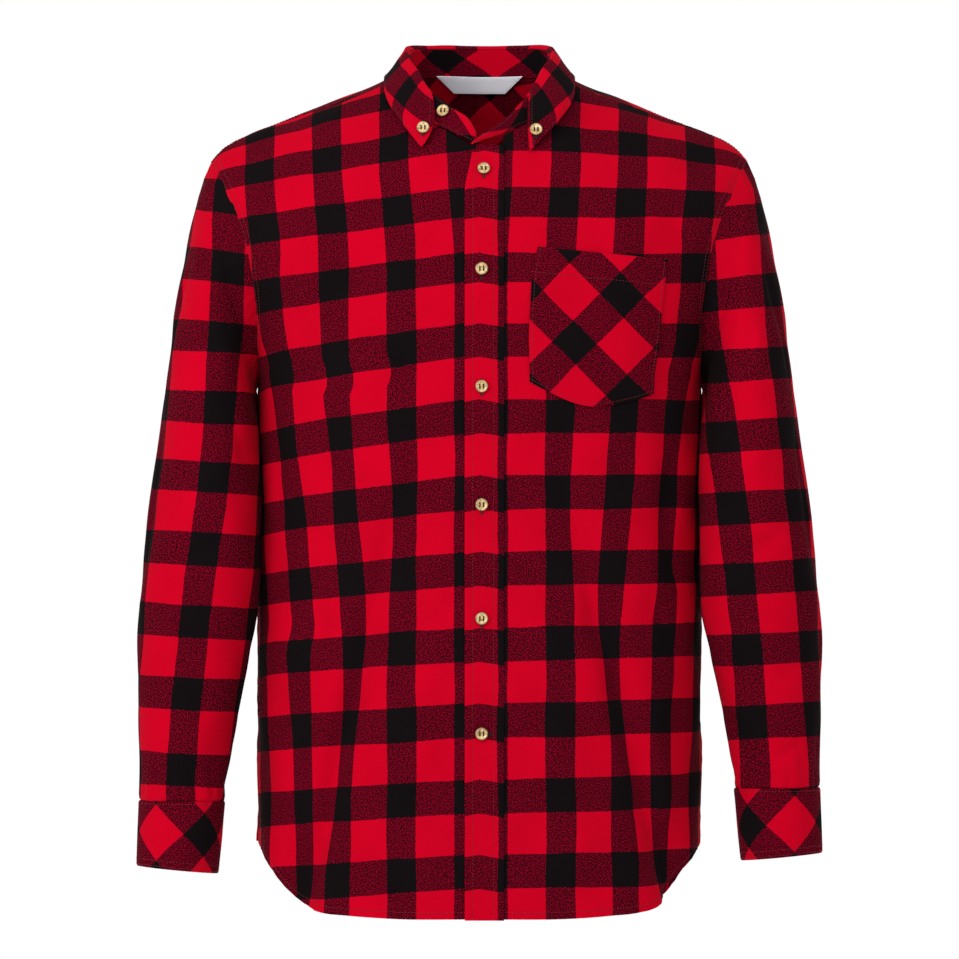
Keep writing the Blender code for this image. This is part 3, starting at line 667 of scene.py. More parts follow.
backCut = {"flat": (545, 770), "area": 0.351, "weft": 447.5, "start": 14.0}
backCreases = (
    (-120, 560, -40, 500, 12, 1.8), (40, 590, 130, 540, 11, 1.6), (-190, 610, -130, 430, 12, 2.4),
    (200, 600, 140, 440, 12, 2.4), (-60, 330, 20, 280, 11, 1.5), (90, 300, 160, 240, 10, 1.6),
    (-170, 220, -110, 120, 10, 1.6), (20, 180, 70, 60, 9, -1.4), (-30, 640, 30, 630, 9, 1.0),
)


def sewBack():
    half = refined(list(backLines + backNeckLines), 3.4)
    topX = np.concatenate([-half[:-1], half[::-1]])
    hands = np.where(topX >= 0, 1, -1)
    grid, flatGrid = panelGrid(0.0, hands, 1, topX, panelRows, backTop, 2.0)
    across, up = bodyCoords(flatGrid, 0.0, 1)
    middle = len(half) - 1
    across = across - across[middle]
    h = flatGrid[..., 2]
    takes = foldAt(1, flatGrid[..., 0], h)[1]
    takes = takes - takes[middle]
    coords = np.stack([across, up], axis=-1)
    u = chestAcross(across, flatGrid[..., 0], h) + takes - backCut["start"]
    v = up + 0.02 * across - backCut["weft"]
    edge = np.minimum(np.abs(across - across[:1]), np.abs(across[-1:] - across))
    hemPucker = puckerAt(up - 2 - curveAt(hem, "out", "height", np.abs(flatGrid[..., 0])), across,
                         9)
    sewSheet("backPanel", "back", grid, coords, np.stack([u, v], axis=-1),
             flip=True, creases=backCreases,
             extra=hemPucker + puckerAt(edge, up, 7, 0.18, 16))


sewBack()


def armholeAt(over):
    side = -1 if over < 0 else 1
    column = "front" if side < 0 else "back"
    x = 249.0
    for _ in range(20):
        x = 0.5 * x + 0.5 * float(curveAt(armhole, "height", column, ridgeAt(x) - dropOf(over)))
    return x


yokeRows = 46
yokeTip = 5


def sewYoke():
    outs = refined(list(yokeLines), 4.0)
    overs = curveAt(yokeFront, "out", "over", outs)
    steps = np.linspace(0, 7, len(outs))
    stops = np.interp(np.array(yokeLines)[::-1], outs[::-1], steps[::-1])[::-1]
    lows = np.interp(steps, stops, backLines)
    places = refined([0.5, 0.42, 0.3, 0.16, 0], 0.012)[1:]
    neckOuts = curveAt(neck, "place", "out", places)
    neckOvers = curveAt(neck, "place", "over", places) + form["seam"]
    neckLows = np.interp(places, [0, 0.16, 0.3, 0.42, 0.5], [0, 19, 36, 52, 66])
    outs = np.concatenate([outs, neckOuts])
    overs = np.concatenate([overs, neckOvers])
    lows = np.concatenate([lows, neckLows])
    # Its last rows are the seam allowance, pressed down inside the back.
    shares = np.concatenate([np.linspace(0, 1, yokeRows + 1), [1.008, 1.022, 1.036]])
    tucked = np.concatenate([np.zeros(yokeRows), [0.3, 1.8, 2.0, 2.0]])
    low = overOf(ridgeAt(lows) - form["backSeamHeight"])
    over = overs[:, None] + (low - overs)[:, None] * shares
    across = outs[:, None] + (lows - outs)[:, None] * shares
    across[0] = [armholeAt(v) for v in over[0]]
    over = np.concatenate([over, over[-2::-1]])
    across = np.concatenate([-across, across[-2::-1]])
    grid = formPoint(across, over)
    span = np.sign(across) * np.hypot(across, 0.35 * (ridgeAt(0) - ridgeAt(across)))
    coords = np.stack([span, over + 0.3 * np.abs(across)], axis=-1)
    pattern = turned(span, over, -45, 110, -10) + np.array([48.75, 15.75])
    sewSheet("yokePanel", "yoke", grid, coords, pattern,
             uneven=0.4, extra=puckerAt(over - over[:, :1], across, 6, 0.3)
             + puckerAt(over[:, yokeRows:yokeRows + 1] - over, across, 6, 0.3) + tucked)
    sheets["yokePanel"] = sheets["yokePanel"][:, :yokeRows + 1]


sewYoke()


# Sleeves.
sleeve = {  # a row for each section from armhole to cuff
    "outerX": (256.5, 262, 268, 275, 283, 289, 297, 305, 311.5, 316, 317.5, 316, 316, 316),
    "outerH": (686, 668, 640, 604, 557, 508, 448, 390, 333, 290, 228, 160, 124, 109),
    "innerX": (208, 207.2, 206.9, 206.4, 205.4, 204.2, 203.4, 203, 203.2, 206.4, 216, 229.5, 236,
               237.5),
    "innerH": (487, 484, 479, 472, 460, 440, 403, 360, 315, 280, 226, 160, 123, 108),
    "depth": (66, 69, 71, 73, 73, 72, 69, 65, 60, 57, 53, 49, 46, 42.5),
    "y": (0, -1, -4, -9, -17, -26, -33, -37, -38, -38, -36, -34, -33, -33),
}
cuff = {
    "outerX": (316, 316.9, 317.5), "outerH": (107.8, 77, 47), "innerX": (237.2, 240, 243.5),
    "innerH": (106.8, 73, 40), "depth": (40.5, 40, 39), "y": (-33, -34, -35),
}
cuffLift = {-1: 0.0, 1: 12.0}
cuffTurn = {"slit": 0.86, "lap": 0.075, "step": 2.4}
cuffHalfHeight = 33


def armPoint(table, hand, row, turn, out=0.0):
    # A turn of 0 is the arm's outer side, 0.25 its front.
    row, turn, out = np.broadcast_arrays(np.asarray(row, float), turn, out)
    spot = {key: np.interp(row, range(len(values)), values) for key, values in table.items()}
    lift = cuffLift[hand]
    outer = np.stack([spot["outerX"], spot["outerH"] + lift * ease((330 - spot["outerH"]) / 200)],
                     axis=-1)
    inner = np.stack([spot["innerX"], spot["innerH"] + lift * ease((330 - spot["innerH"]) / 200)],
                     axis=-1)
    middle = (outer + inner) / 2
    half = np.linalg.norm(outer - inner, axis=-1) / 2
    along = (outer - inner) / (2 * half[..., None])
    angle = 2 * math.pi * turn
    flat = ((half + out) * np.cos(angle))[..., None] * along + middle
    y = spot["y"] - (spot["depth"] + out) * np.sin(angle)
    return np.stack([hand * flat[..., 0], y, flat[..., 1]], axis=-1)


def resampled(line, shares):
    line = np.vstack([line, line[:1]])
    lengths = lengthsAround(line)
    return np.stack([np.interp(np.asarray(shares) * lengths[-1], lengths, line[:, k])
                     for k in range(3)], axis=1)


sleeves = {  # grain: where the middle of a dark column runs down the front
    -1: {"name": "sleeveRight", "node": "sleeve_right", "weft": 120.9, "scale": 1.043,
         "grainH": (135, 205, 274, 321, 367, 386, 439, 571, 657, 720),
         "grainX": (276, 270.5, 263, 257.5, 250.5, 248, 242, 234, 227, 222),
         "settleH": (109, 150, 200, 390, 440, 480, 520, 553, 590, 620, 655),
         "settle": (0, -1, -4, -3.5, -1, 0.5, 1.8, 4.3, 5.4, 6, 8)},
    1: {"name": "sleeveLeft", "node": "sleeve_left", "weft": 168.3, "scale": 1.068,
        "grainH": (135, 181, 251, 367, 446, 510, 578, 632, 720),
        "grainX": (255, 252.5, 247, 236, 226, 217.6, 209.3, 201, 188),
        "settleH": (115, 130, 150, 180), "settle": (13, 12, 5, 0)},
}
darkMiddle = 48.75


sleeveCreases = {
    # From and to are: round the arm from its front, and height.
    -1: ((-70, 640, -78, 470, 7, 2.4), (-78, 470, -74, 300, 6, 2.8), (-74, 320, -66, 160, 6, 2.2),
         (-40, 600, -30, 520, 8, -1.3), (-35, 420, 20, 380, 8, 1.7), (-25, 330, 30, 350, 7, 1.8),
         (20, 470, 50, 410, 8, 1.8), (-45, 260, 10, 235, 7, 1.7), (-8, 215, 32, 190, 7, 1.5),
         (-35, 150, 10, 122, 5, 1.6), (5, 160, 18, 112, 4, 1.6), (-20, 150, -26, 112, 4, 1.4),
         (30, 150, 38, 112, 4, 1.3), (-60, 165, -52, 115, 4, 1.4), (45, 620, 60, 560, 8, 2.0),
         (90, 420, 130, 380, 9, 0.6), (95, 340, 140, 360, 8, 0.7), (120, 300, 80, 270, 8, 2.0),
         (-120, 430, -170, 390, 9, 2.4), (-130, 340, -180, 360, 8, 2.2),
         (-110, 250, -150, 220, 8, 1.8)),
    1: ((-70, 630, -76, 460, 7, 2.4), (-76, 470, -72, 310, 6, 2.6), (-72, 310, -66, 170, 6, 2.2),
        (-30, 560, -10, 500, 8, -1.3), (-20, 450, 30, 420, 8, 1.6), (-35, 360, 25, 330, 7, 1.9),
        (10, 290, 45, 250, 7, 1.7), (-40, 240, 5, 215, 7, 1.6), (-30, 165, 12, 140, 5, 1.6),
        (5, 170, 16, 124, 4, 1.6), (-20, 165, -24, 124, 4, 1.4), (30, 160, 36, 124, 4, 1.3),
        (-55, 175, -50, 126, 4, 1.4), (45, 610, 60, 545, 8, 2.0), (90, 430, 135, 390, 9, 0.6),
        (95, 330, 140, 350, 8, 0.7), (-120, 420, -170, 380, 9, 2.4), (-130, 330, -180, 350, 8, 2.2),
        (-110, 260, -150, 230, 8, 1.8)),
}


def sewSleeve(hand):
    cut = sleeves[hand]
    front = sheets["frontLeft" if hand > 0 else "frontRight"][-1, :, :3]
    back = sheets["backPanel"][-1 if hand > 0 else 0, :, :3]
    yoke = sheets["yokePanel"][-1 if hand > 0 else 0, :, :3]
    front = front[front[:, 2] >= form["armpit"] - 2]
    back = back[back[:, 2] >= form["armpit"] - 2]
    tip = yokeRows // yokeTip
    ring = np.concatenate([yoke[tip::-1], front[-2::-1], back, yoke[-2:tip:-1]])
    count = 170
    shares = (0.5 + np.arange(count) / count) % 1.0
    dense = np.arange(480) / 480
    rows = refined(list(range(14)), 0.085)
    rings = [resampled(armPoint(sleeve, hand, row, dense), shares) for row in rows]
    start = resampled(ring, shares)
    away = rings[0] - start
    away /= np.linalg.norm(away, axis=1)[:, None]
    tucked = start - 5.0 * away
    tucked[:, 0] -= hand * 1.5
    firstSteps = [tucked, start + 0.3 * away] + [start + (rings[0] - start) * s for s in (0.3, 0.6)]
    # The end is gathered into the cuff.
    gathers = ((0.02, -1.6), (0.09, -2.2), (0.16, -2.2))
    ends = [resampled(armPoint(cuff, hand, row, dense, out), shares) for row, out in gathers]
    grid = np.array(firstSteps + rings + ends).transpose(1, 0, 2)
    loop = np.concatenate([grid, grid[:1]])
    around = lengthsAround(loop)
    facing = int(0.75 * count)
    around = around - around[facing]
    h = loop[..., 2]
    middle = 232 + (586 - h) * 0.0983
    steep = 0.05 + 0.10 * ease((h - 500) / 120)
    up = h + steep * (middle - np.abs(loop[..., 0]))
    coords = np.stack([around, up], axis=-1)
    # The check's columns hang straight down the front of the arm.
    x, y = np.abs(loop[..., 0]), loop[..., 1]
    low, high = y.min(axis=0), y.max(axis=0)
    toFront = ease(((low + high - 2 * y) / (high - low) - 0.3) / 0.35)
    between = (toFront[1:] + toFront[:-1]) / 2
    steps = np.diff(around, axis=0)
    seen = np.minimum(np.abs(np.diff(x, axis=0)), steps)
    widths = np.cumsum(steps + (seen - steps) * between, axis=0)
    column = np.concatenate([np.zeros((1, loop.shape[1])), widths])
    column = column - column[facing] + np.interp(h[facing], cut["grainH"],
                                                 cut["grainX"]) - x[facing]
    rowAt = up + np.interp(h, cut["settleH"], cut["settle"])
    pattern = np.stack([column + darkMiddle, (rowAt - cut["weft"]) * cut["scale"]], axis=-1)
    seamAway = lengthsAlong(grid)
    cuffAway = seamAway[:, -1:] - 6 - seamAway
    extra = puckerAt(seamAway - 5, around[:-1], 9, 0.7, 14.0)
    extra = extra + puckerAt(cuffAway, around[:-1], 16, 0.9, 17.0)
    extra = extra * ease(cuffAway / 6)
    extra = extra * ease((seamAway - 4) / 4)
    sewSheet(cut["name"], cut["node"], grid, coords, pattern,
             flip=hand < 0, closed=True, creases=sleeveCreases[hand], extra=extra)


def cuffPoint(hand, row, share, out=0.0):
    turn = cuffTurn["slit"] - cuffTurn["lap"] / 2 + share * (1 + cuffTurn["lap"])
    return armPoint(cuff, hand, row, turn % 1.0, cuffTurn["step"] * share + out)


cuffs = {-1: {"name": "cuffRight", "node": "cuff_right", "middle": (-21, 78)},
         1: {"name": "cuffLeft", "node": "cuff_left", "middle": (-12, 86)}}


def sewCuff(hand):
    cut = cuffs[hand]
    shares = np.linspace(0, 1, 150)
    rows = np.concatenate([[0, 0.02, 0.05], np.linspace(0.09, 1.91, 26), [1.95, 1.98, 2.0]])
    grid = cuffPoint(hand, rows[None, :], shares[:, None])
    around = lengthsAround(grid)
    front = np.argmin(grid[:, len(rows) // 2, 1])
    around = around - around[front]
    h = grid[..., 2]
    coords = np.stack([around, h], axis=-1)
    pattern = turned(around, h, -45, *cut["middle"]) + np.array([17.5, 50.0])
    roundOff = 1.1 * (np.exp(-rows / 0.035) + np.exp(-(2 - rows) / 0.035))[None, :]
    sewSheet(cut["name"], cut["node"], grid, coords, pattern,
             flip=hand < 0, thick=1.9, uneven=0.35,
             extra=roundOff + puckerAt(rows[None, :] * cuffHalfHeight, around, 7, 0.3, 9)
             + puckerAt((2 - rows)[None, :] * cuffHalfHeight, around, 7, 0.3, 11))


sleevePlacketWidth = 24.0


def sewSleevePlacket(hand):
    across = np.linspace(-0.5, 0.5, 9)[:, None]
    up = np.linspace(0, 1, 44)[None, :]
    row = 12.95 - 2.6 * up * (1.0 - 0.16 * np.abs(across) * ease((up - 0.7) / 0.3))
    turn = cuffTurn["slit"] + across * sleevePlacketWidth / 300.0
    grid = armPoint(sleeve, hand, row, turn, form["cloth"] + 0.6)
    h = grid[..., 2]
    coords = np.stack([across * sleevePlacketWidth + 0 * h, h], axis=-1)
    pattern = coords - np.array([14.0, sleeves[hand]["weft"]])
    word = "Left" if hand > 0 else "Right"
    sewSheet("sleevePlacket" + word, "sleeve_placket_" + word.lower(), grid, coords, pattern,
             flip=hand < 0, uneven=0.15)


for hand in (-1, 1):
    sewSleeve(hand)
    sewCuff(hand)
    sewSleevePlacket(hand)


# Placket and pocket.
placket = {"right": 22.6, "left": -13.6, "top": 709.5, "weft": 447.5, "start": -18.3,
           "stitches": (-6.0, 13.5), "rows": 300, "shoulder": 62.8}


def placketPoint(x, h, out=0.0):
    share = (x - placket["left"]) / (placket["right"] - placket["left"])
    lean = 6.5 * ease((h - 670) / 40) * (1 - share)
    return frontPoint(x + lean, h, form["cloth"] + form["seam"] + 0.8 * ease((h - 640) / 50) + out)


def sewPlacket():
    x = np.concatenate([[-13.6, -13.0, -12.0], np.linspace(-10.5, 19.5, 15), [21, 22.1, 22.6]])[:,
            None]
    share = (x - placket["left"]) / (placket["right"] - placket["left"])
    top = placket["top"] + 5 * share
    foot = curveAt(hem, "out", "height", np.abs(x)) - 1.0
    h = foot + (top - foot) * np.linspace(0, 1, placket["rows"])[None, :]
    grid = placketPoint(x, h)
    up = ridgeAt(0 * h) + placket["shoulder"] - overOf(ridgeAt(x + 0 * h) - h)
    coords = np.stack([x + 0 * h, up], axis=-1)
    pattern = np.stack([x - placket["start"] + 0 * h,
                        up + shoulderEase(h) - placket["weft"] + 0 * x], axis=-1)
    left, right = placket["stitches"]
    groove = dentAt(x - left, 0.45, 1.3) + dentAt(x - right, 0.45, 1.3)
    rounding = roundedAt(0.7, x - placket["left"], placket["right"] - x)
    extra = (groove + rounding + puckerAt(x - left, up, 3.5, 0.28, 8.5)
             + puckerAt(x - right, up + 40, 3.5, 0.28, 9.5))
    sewSheet("placketBand", "placket", grid, coords, pattern,
             thick=1.3,
             uneven=0.25, extra=extra)


sewPlacket()

pocket = {
    "up": (0, 0.12, 0.3, 0.55, 0.8, 1),
    "left": (46, 46, 45.5, 46.5, 48.5, 53.5),
    "right": (161, 161, 164, 167, 170, 173),
    "across": (0, 0.12, 0.52, 0.88, 1),
    "low": (495, 487.5, 472, 479.5, 484),
    "top": 619.5, "fall": 11.5, "middle": (87.0, 530.8), "wide": 118, "tall": 140,
}


def sewPocket():
    across = np.concatenate([[0, 0.008, 0.02], np.linspace(0.045, 0.955, 34), [0.98, 0.992, 1]])[:,
            None]
    up = np.concatenate([[0, 0.008, 0.02], np.linspace(0.045, 0.955, 38), [0.98, 0.992, 1]])[None,
            :]
    left = curveAt(pocket, "up", "left", up)
    right = curveAt(pocket, "up", "right", up)
    x = left + (right - left) * across
    low = curveAt(pocket, "across", "low", across)
    top = pocket["top"] - pocket["fall"] * across
    h = low + (top - low) * up
    grid = frontPoint(x, h, form["cloth"] + 2 * form["seam"])
    coords = np.stack([x, h], axis=-1)
    pattern = turned(x, h, -45, *pocket["middle"]) + np.array([48.75, 15.75])
    side = np.minimum(across, 1 - across) * pocket["wide"]
    high = (1 - up) * pocket["tall"]
    foot = up * pocket["tall"]
    groove = dentAt(side - 3.2, 0.4, 1.2) + dentAt(foot - 3.2, 0.4, 1.2) + dentAt(high - 24, 0.35,
            1.3)
    extra = (groove + roundedAt(0.7, side, foot, high) + puckerAt(side - 3, h, 4, 0.3, 11)
             + puckerAt(foot - 3, x, 4, 0.3, 9))
    sewSheet("pocketPatch", "pocket", grid, coords, pattern,
             uneven=0.3,
             extra=extra, creases=((70, 600, 110, 560, 9, 0.9), (150, 590, 130, 540, 8, 0.8)))


sewPocket()


# Collar.
standTop = {  # top edge of the stand, wearer's right end first
    "place": (-1, -0.95, -0.9, -0.8, -0.72, -0.6, -0.5, -0.42, -0.3, -0.16, 0,
              0.16, 0.3, 0.42, 0.5, 0.6, 0.72, 0.8, 0.9, 1),
    "x": (-3.5, -11, -20, -36, -45, -56, -64, -65, -55, -29, 0, 29, 55, 65, 64, 56, 45, 36, 20, -3),
    "y": (-89, -86, -83, -73, -62, -36, -14, 8, 36, 52, 57, 52, 36, 8, -14, -36, -63, -77, -92,
          -97),
    "h": (727, 739, 745, 757, 763.5, 782, 794, 802, 806, 806.5, 806.5,
          806.5, 806, 802, 794, 782, 762, 751, 735.5, 721),
}
leaf = {  # roll line, middle and lower edge at each place round the neck
    "place": (-0.745, -0.69, -0.6, -0.5, -0.44, -0.35, -0.2, 0, 0.2, 0.35, 0.44, 0.5, 0.6, 0.69,
              0.745),
    "rollX": (-45, -51, -58.5, -66.5, -69, -66, -40, 0, 40, 66, 69, 66.5, 58.5, 51, 46),
    "rollY": (-69, -57, -38, -15, 4, 28, 53, 61, 53, 28, 4, -15, -38, -57, -70),
    "rollH": (764.5, 773, 787, 799.5, 807, 811, 811.5, 811.5, 811.5, 811, 807, 799.5, 787, 772,
              763),
    "midX": (-42, -64, -76, -81.5, -81, -76, -47, 0, 47, 76, 81, 81.5, 76, 65, 44.5),
    "midY": (-91, -83, -54, -20, 6, 34, 65, 75, 65, 34, 6, -20, -54, -84, -92),
    "midH": (736, 747, 768, 783, 789, 792, 791, 790, 791, 792, 789, 783, 768, 746, 734),
    "edgeX": (-54, -66.5, -82.5, -89, -88.5, -83, -52, 0, 52, 83, 88.5, 89, 84.5, 66, 47),
    "edgeY": (-99, -92, -68, -32, 8, 42, 74, 85, 74, 42, 8, -32, -67, -92, -101),
    "edgeH": (712, 727, 750, 773, 781, 778, 768, 765, 768, 778, 781, 772, 752, 728, 708.5),
}


standHeight = 36


def standLow(place):
    place = np.asarray(place, float)
    out = np.sign(place) * curveAt(neck, "place", "out", np.abs(place))
    point = formPoint(out, curveAt(neck, "place", "over", np.abs(place)))
    reach = ease((np.abs(place) - 0.9) / 0.1)
    ahead = place > 0
    move = np.stack([np.where(ahead, -15 * reach, 5 * reach), np.where(ahead, -3.0 * reach, 0.0),
                     0.7 + 0 * reach], axis=-1)
    return point + move


def standPoint(place, up, out=0.0):
    place, up, out = np.broadcast_arrays(np.asarray(place, float), up, out)
    low = standLow(place)
    top = np.stack([curveAt(standTop, "place", key, place) for key in ("x", "y", "h")], axis=-1)
    ahead = standLow(np.minimum(place + 0.02, 1)) - standLow(np.maximum(place - 0.02, -1))
    normal = np.cross(ahead, top - low)
    normal /= np.linalg.norm(normal, axis=-1, keepdims=True)
    return low + (top - low) * up[..., None] - normal * (out + 0.8 * 4 * up * (1 - up))[..., None]


def leafPoint(place, down):
    place, down = np.broadcast_arrays(np.asarray(place, float), down)
    roll, mid, edge = (np.stack([curveAt(leaf, "place", part + axis, place) for axis in "XYH"],
                                axis=-1)
                       for part in ("roll", "mid", "edge"))
    sewn = standPoint(place, 1.0) + np.array([0, 0, 0.8])
    t = np.maximum((down - 0.1) / 0.9, 0.0)[..., None]
    control = 2 * mid - (roll + edge) / 2
    outer = roll * (1 - t) ** 2 + 2 * control * t * (1 - t) + edge * t * t
    rising = np.clip(down / 0.1, 0, 1)[..., None]
    return np.where(down[..., None] < 0.1, sewn + (roll - sewn) * rising, outer)


def sewStand():
    stops = [-1, -0.95, -0.9, -0.8, -0.72, -0.6, -0.42, -0.16, 0, 0.16, 0.42, 0.6, 0.72, 0.8, 0.9,
             0.95, 1]
    places = refined(stops, 0.011)[:, None]
    up = np.array([0, 0.03, 0.08, 0.15, 0.25, 0.35, 0.45, 0.55, 0.65, 0.75, 0.85, 0.92, 0.97,
                   1.0])[None, :]
    grid = standPoint(places, up)
    lengths = lengthsAround(grid[:, 6])
    around = (lengths - lengths[len(lengths) // 2])[:, None] + 0 * up
    rise = standHeight * up
    coords = np.stack([around, rise + 0 * around], axis=-1)
    reading = around + 40 * ease((around - 90) / 70) - 20 * ease((-around - 90) / 70)
    pattern = turned(reading, rise + 0 * around, -45, 14, 22) + np.array([17.5, 50.0])
    sewSheet("collarStand", "collar_stand", grid, coords, pattern,
             flip=True, uneven=0.25, thick=1.7, extra=puckerAt(rise, around, 6, 0.25, 9))


def sewLeaf():
    places = refined(list(leaf["place"]), 0.0085)[:, None]
    downs = np.concatenate([np.linspace(0, 0.1, 5)[:-1], np.linspace(0.1, 0.94, 30),
                            [0.955, 0.97, 0.982, 0.992, 1.0]])
    grid = leafPoint(places, downs[None, :])
    # The roll is rounded over the three rows on each side of its line.
    for _ in range(3):
        grid[:, 2:12] = 0.25 * grid[:, 1:11] + 0.5 * grid[:, 2:12] + 0.25 * grid[:, 3:13]
    downs = lengthsAlong(grid[:, 4:])
    depth = np.concatenate([-lengthsAlong(grid[:, 4::-1])[:, :0:-1], downs], axis=1)
    lengths = lengthsAround(grid[:, 20])
    around = (lengths - lengths[len(lengths) // 2])[:, None] + 0 * depth
    coords = np.stack([around, depth], axis=-1)
    pattern = np.stack([around + 65.0, -depth + 41.5], axis=-1)
    toEdge = depth[:, -1:] - depth
    toEnd = np.minimum(around - around[:1], around[-1:] - around)
    groove = dentAt(toEdge - 5, 0.4, 1.1) + dentAt(toEnd - 5, 0.4, 1.1)
    rounding = roundedAt(0.6, toEdge, toEnd)
    sewSheet("collarLeaf", "collar_leaf", grid, coords, pattern,
             uneven=0.35, thick=1.9, extra=groove + rounding
             + puckerAt(toEdge - 4, around, 5, 0.3, 10),
             creases=((-150, 4, -60, 9, 7, 0.9), (70, 6, 160, 3, 7, 0.9)))


sewStand()
sewLeaf()

label = {"halfTop": 40.0, "halfLow": 24.0, "drop": 15.0, "top": 781.0, "inside": 3.5, "border": 1.3}


def sewLabel():
    across = np.concatenate([[-1, -0.97], np.linspace(-0.94, 0.94, 40), [0.97, 1]])[:, None]
    down = np.concatenate([[0, 0.06], np.linspace(0.12, 0.88, 12), [0.94, 1]])[None, :]
    x = across * (label["halfTop"] + (label["halfLow"] - label["halfTop"]) * down)
    over = overOf(ridgeAt(x) - label["top"] + label["drop"] * down)
    grid = formPoint(x, over, -form["cloth"] - label["inside"])
    coords = np.stack([x, -label["drop"] * down + 0 * x], axis=-1)
    halfWidth = (label["halfTop"] + label["halfLow"]) / 2
    rim = np.minimum((1 - np.abs(across)) * halfWidth, np.minimum(down, 1 - down) * label["drop"])
    extra = -0.25 * (rim < label["border"]) + 0.35 * np.sin(x / 13.0 + 1.0)
    sewSheet("neckLabel", "neck_label", grid, coords, coords,
             uneven=0.2,
             thick=0.6, extra=extra, material=satin)


sewLabel()


# Buttons.
button = {
    "radius": 6.0, "thick": 2.6, "hole": 0.75, "pitch": 1.7, "lift": 0.8, "x": 2.0,
    "heights": (691, 599, 491, 382, 277, 171), "sides": 56, "holeSides": 14, "barHalfGap": 0.28,
    "radii": (0.0, 0.5, 0.72, 0.86, 0.97, 1.0, 1.0, 0.985, 0.95, 0.9, 0.84, 0.78, 0.72, 0.66, 0.6,
              0.5, 0.0),
    "rises": (0.0, 0.0, 0.0, 0.12, 0.3, 0.45, 0.62, 0.78, 0.9, 0.97, 1.0, 0.98, 0.93, 0.83, 0.74,
              0.69, 0.66),
}
threadPaths = []
threadArch = (  # over the button's middle: along, as a share of the holes' pitch, and up
    (-1.0, 0.25), (-1.0, 0.72), (-0.7, 0.93), (0, 1.0), (0.7, 0.93), (1.0, 0.72), (1.0, 0.25),
)


def frameOf(pointAt, a, b, step=0.004):
    base = pointAt(a, b)
    normal = np.cross(pointAt(a + step, b) - base, pointAt(a, b + step) - base)
    return base, normal / np.linalg.norm(normal)


def buttonPlaces():
    places = {}
    for number, height in enumerate(button["heights"], 1):
        places[f"button_front_{number}"] = frameOf(placketPoint, button["x"], height, 0.5)
    base, normal = frameOf(standPoint, -0.84, 0.62)
    places["button_neck"] = (base, -normal)
    for hand, word in ((-1, "right"), (1, "left")):
        places["button_collar_" + word] = frameOf(leafPoint, hand * 0.728, 0.74)

        def cuffTop(turn, row):
            return armPoint(cuff, hand, row, turn, cuffTurn["step"])

        base, normal = frameOf(cuffTop, cuffTurn["slit"], 1.0)
        places["button_cuff_" + word] = (base, normal * hand)
    return places


def holeCutter(name, base, across, up, normal):
    holes = bmesh.new()
    sides = button["holeSides"]
    for one in (-1, 1):
        for two in (-1, 1):
            centre = base + (across * one + up * two) * button["pitch"]
            ends = []
            for rise in (-1.0, button["thick"] + 1.0):
                ring = []
                for angle in 2 * math.pi * np.arange(sides) / sides:
                    out = (across * math.cos(angle) + up * math.sin(angle)) * button["hole"]
                    spot = (centre + out + normal * rise) * mm
                    ring.append(holes.verts.new((spot[0], spot[1], spot[2] - originHeight * mm)))
                ends.append(ring)
            for k in range(sides):
                n = (k + 1) % sides
                holes.faces.new((ends[0][k], ends[0][n], ends[1][n], ends[1][k]))
            holes.faces.new(ends[0][::-1])
            holes.faces.new(ends[1])
    mesh = bpy.data.meshes.new(name)
    holes.to_mesh(mesh)
    holes.free()
    return addObject(name, mesh)


def makeButton(node, base, normal):
    across = np.cross((0, 0, 1.0), normal)
    across /= np.linalg.norm(across)
    up = np.cross(normal, across)
    base = base + normal * button["lift"]
    turns = 2 * math.pi * np.arange(button["sides"]) / button["sides"]
    built = bmesh.new()
    rim = built.verts.layers.float.new("rim")

    def add(radius, rise, angle=0.0):
        flat = (across * math.cos(angle) + up * math.sin(angle)) * radius * button["radius"]
        spot = (base + flat + normal * rise * button["thick"]) * mm
        vert = built.verts.new((spot[0], spot[1], spot[2] - originHeight * mm))
        vert[rim] = radius
        return vert

    profile = list(zip(button["radii"], button["rises"]))
    rings = [[add(r, z, t) for t in turns] for r, z in profile[1:-1]]
    foot, face = add(*profile[0]), add(*profile[-1])
    for k in range(len(turns)):
        n = (k + 1) % len(turns)
        built.faces.new((foot, rings[0][n], rings[0][k]))
        for low, high in zip(rings, rings[1:]):
            built.faces.new((low[k], low[n], high[n], high[k]))
        built.faces.new((rings[-1][k], rings[-1][n], face))
    name = "".join(word.capitalize() for word in node.split("_"))
    name = name[0].lower() + name[1:]
    mesh = bpy.data.meshes.new(name)
    built.to_mesh(mesh)
    built.free()
    mesh.materials.append(horn)
    piece = addObject(name, mesh)
    cutter = holeCutter(name + "Holes", base, across, up, normal)
    bore = piece.modifiers.new("holes", "BOOLEAN")
    bore.operation, bore.solver, bore.object = "DIFFERENCE", "EXACT", cutter
    makePlain(piece)
    cutterMesh = cutter.data
    bpy.data.objects.remove(cutter)
    bpy.data.meshes.remove(cutterMesh)
    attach(piece, "root")
    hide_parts(node)
    for one in (-1, 1):
        for shift in (-button["barHalfGap"], button["barHalfGap"]):
            stem = base + across * (one * button["pitch"] + shift)
            threadPaths.append([stem + up * s * button["pitch"] + normal * (button["thick"] * z)
                                for s, z in threadArch])
    return base, across, up, normal


placed = {node: makeButton(node, *spot) for node, spot in buttonPlaces().items()}
print("buttons made", len(placed))


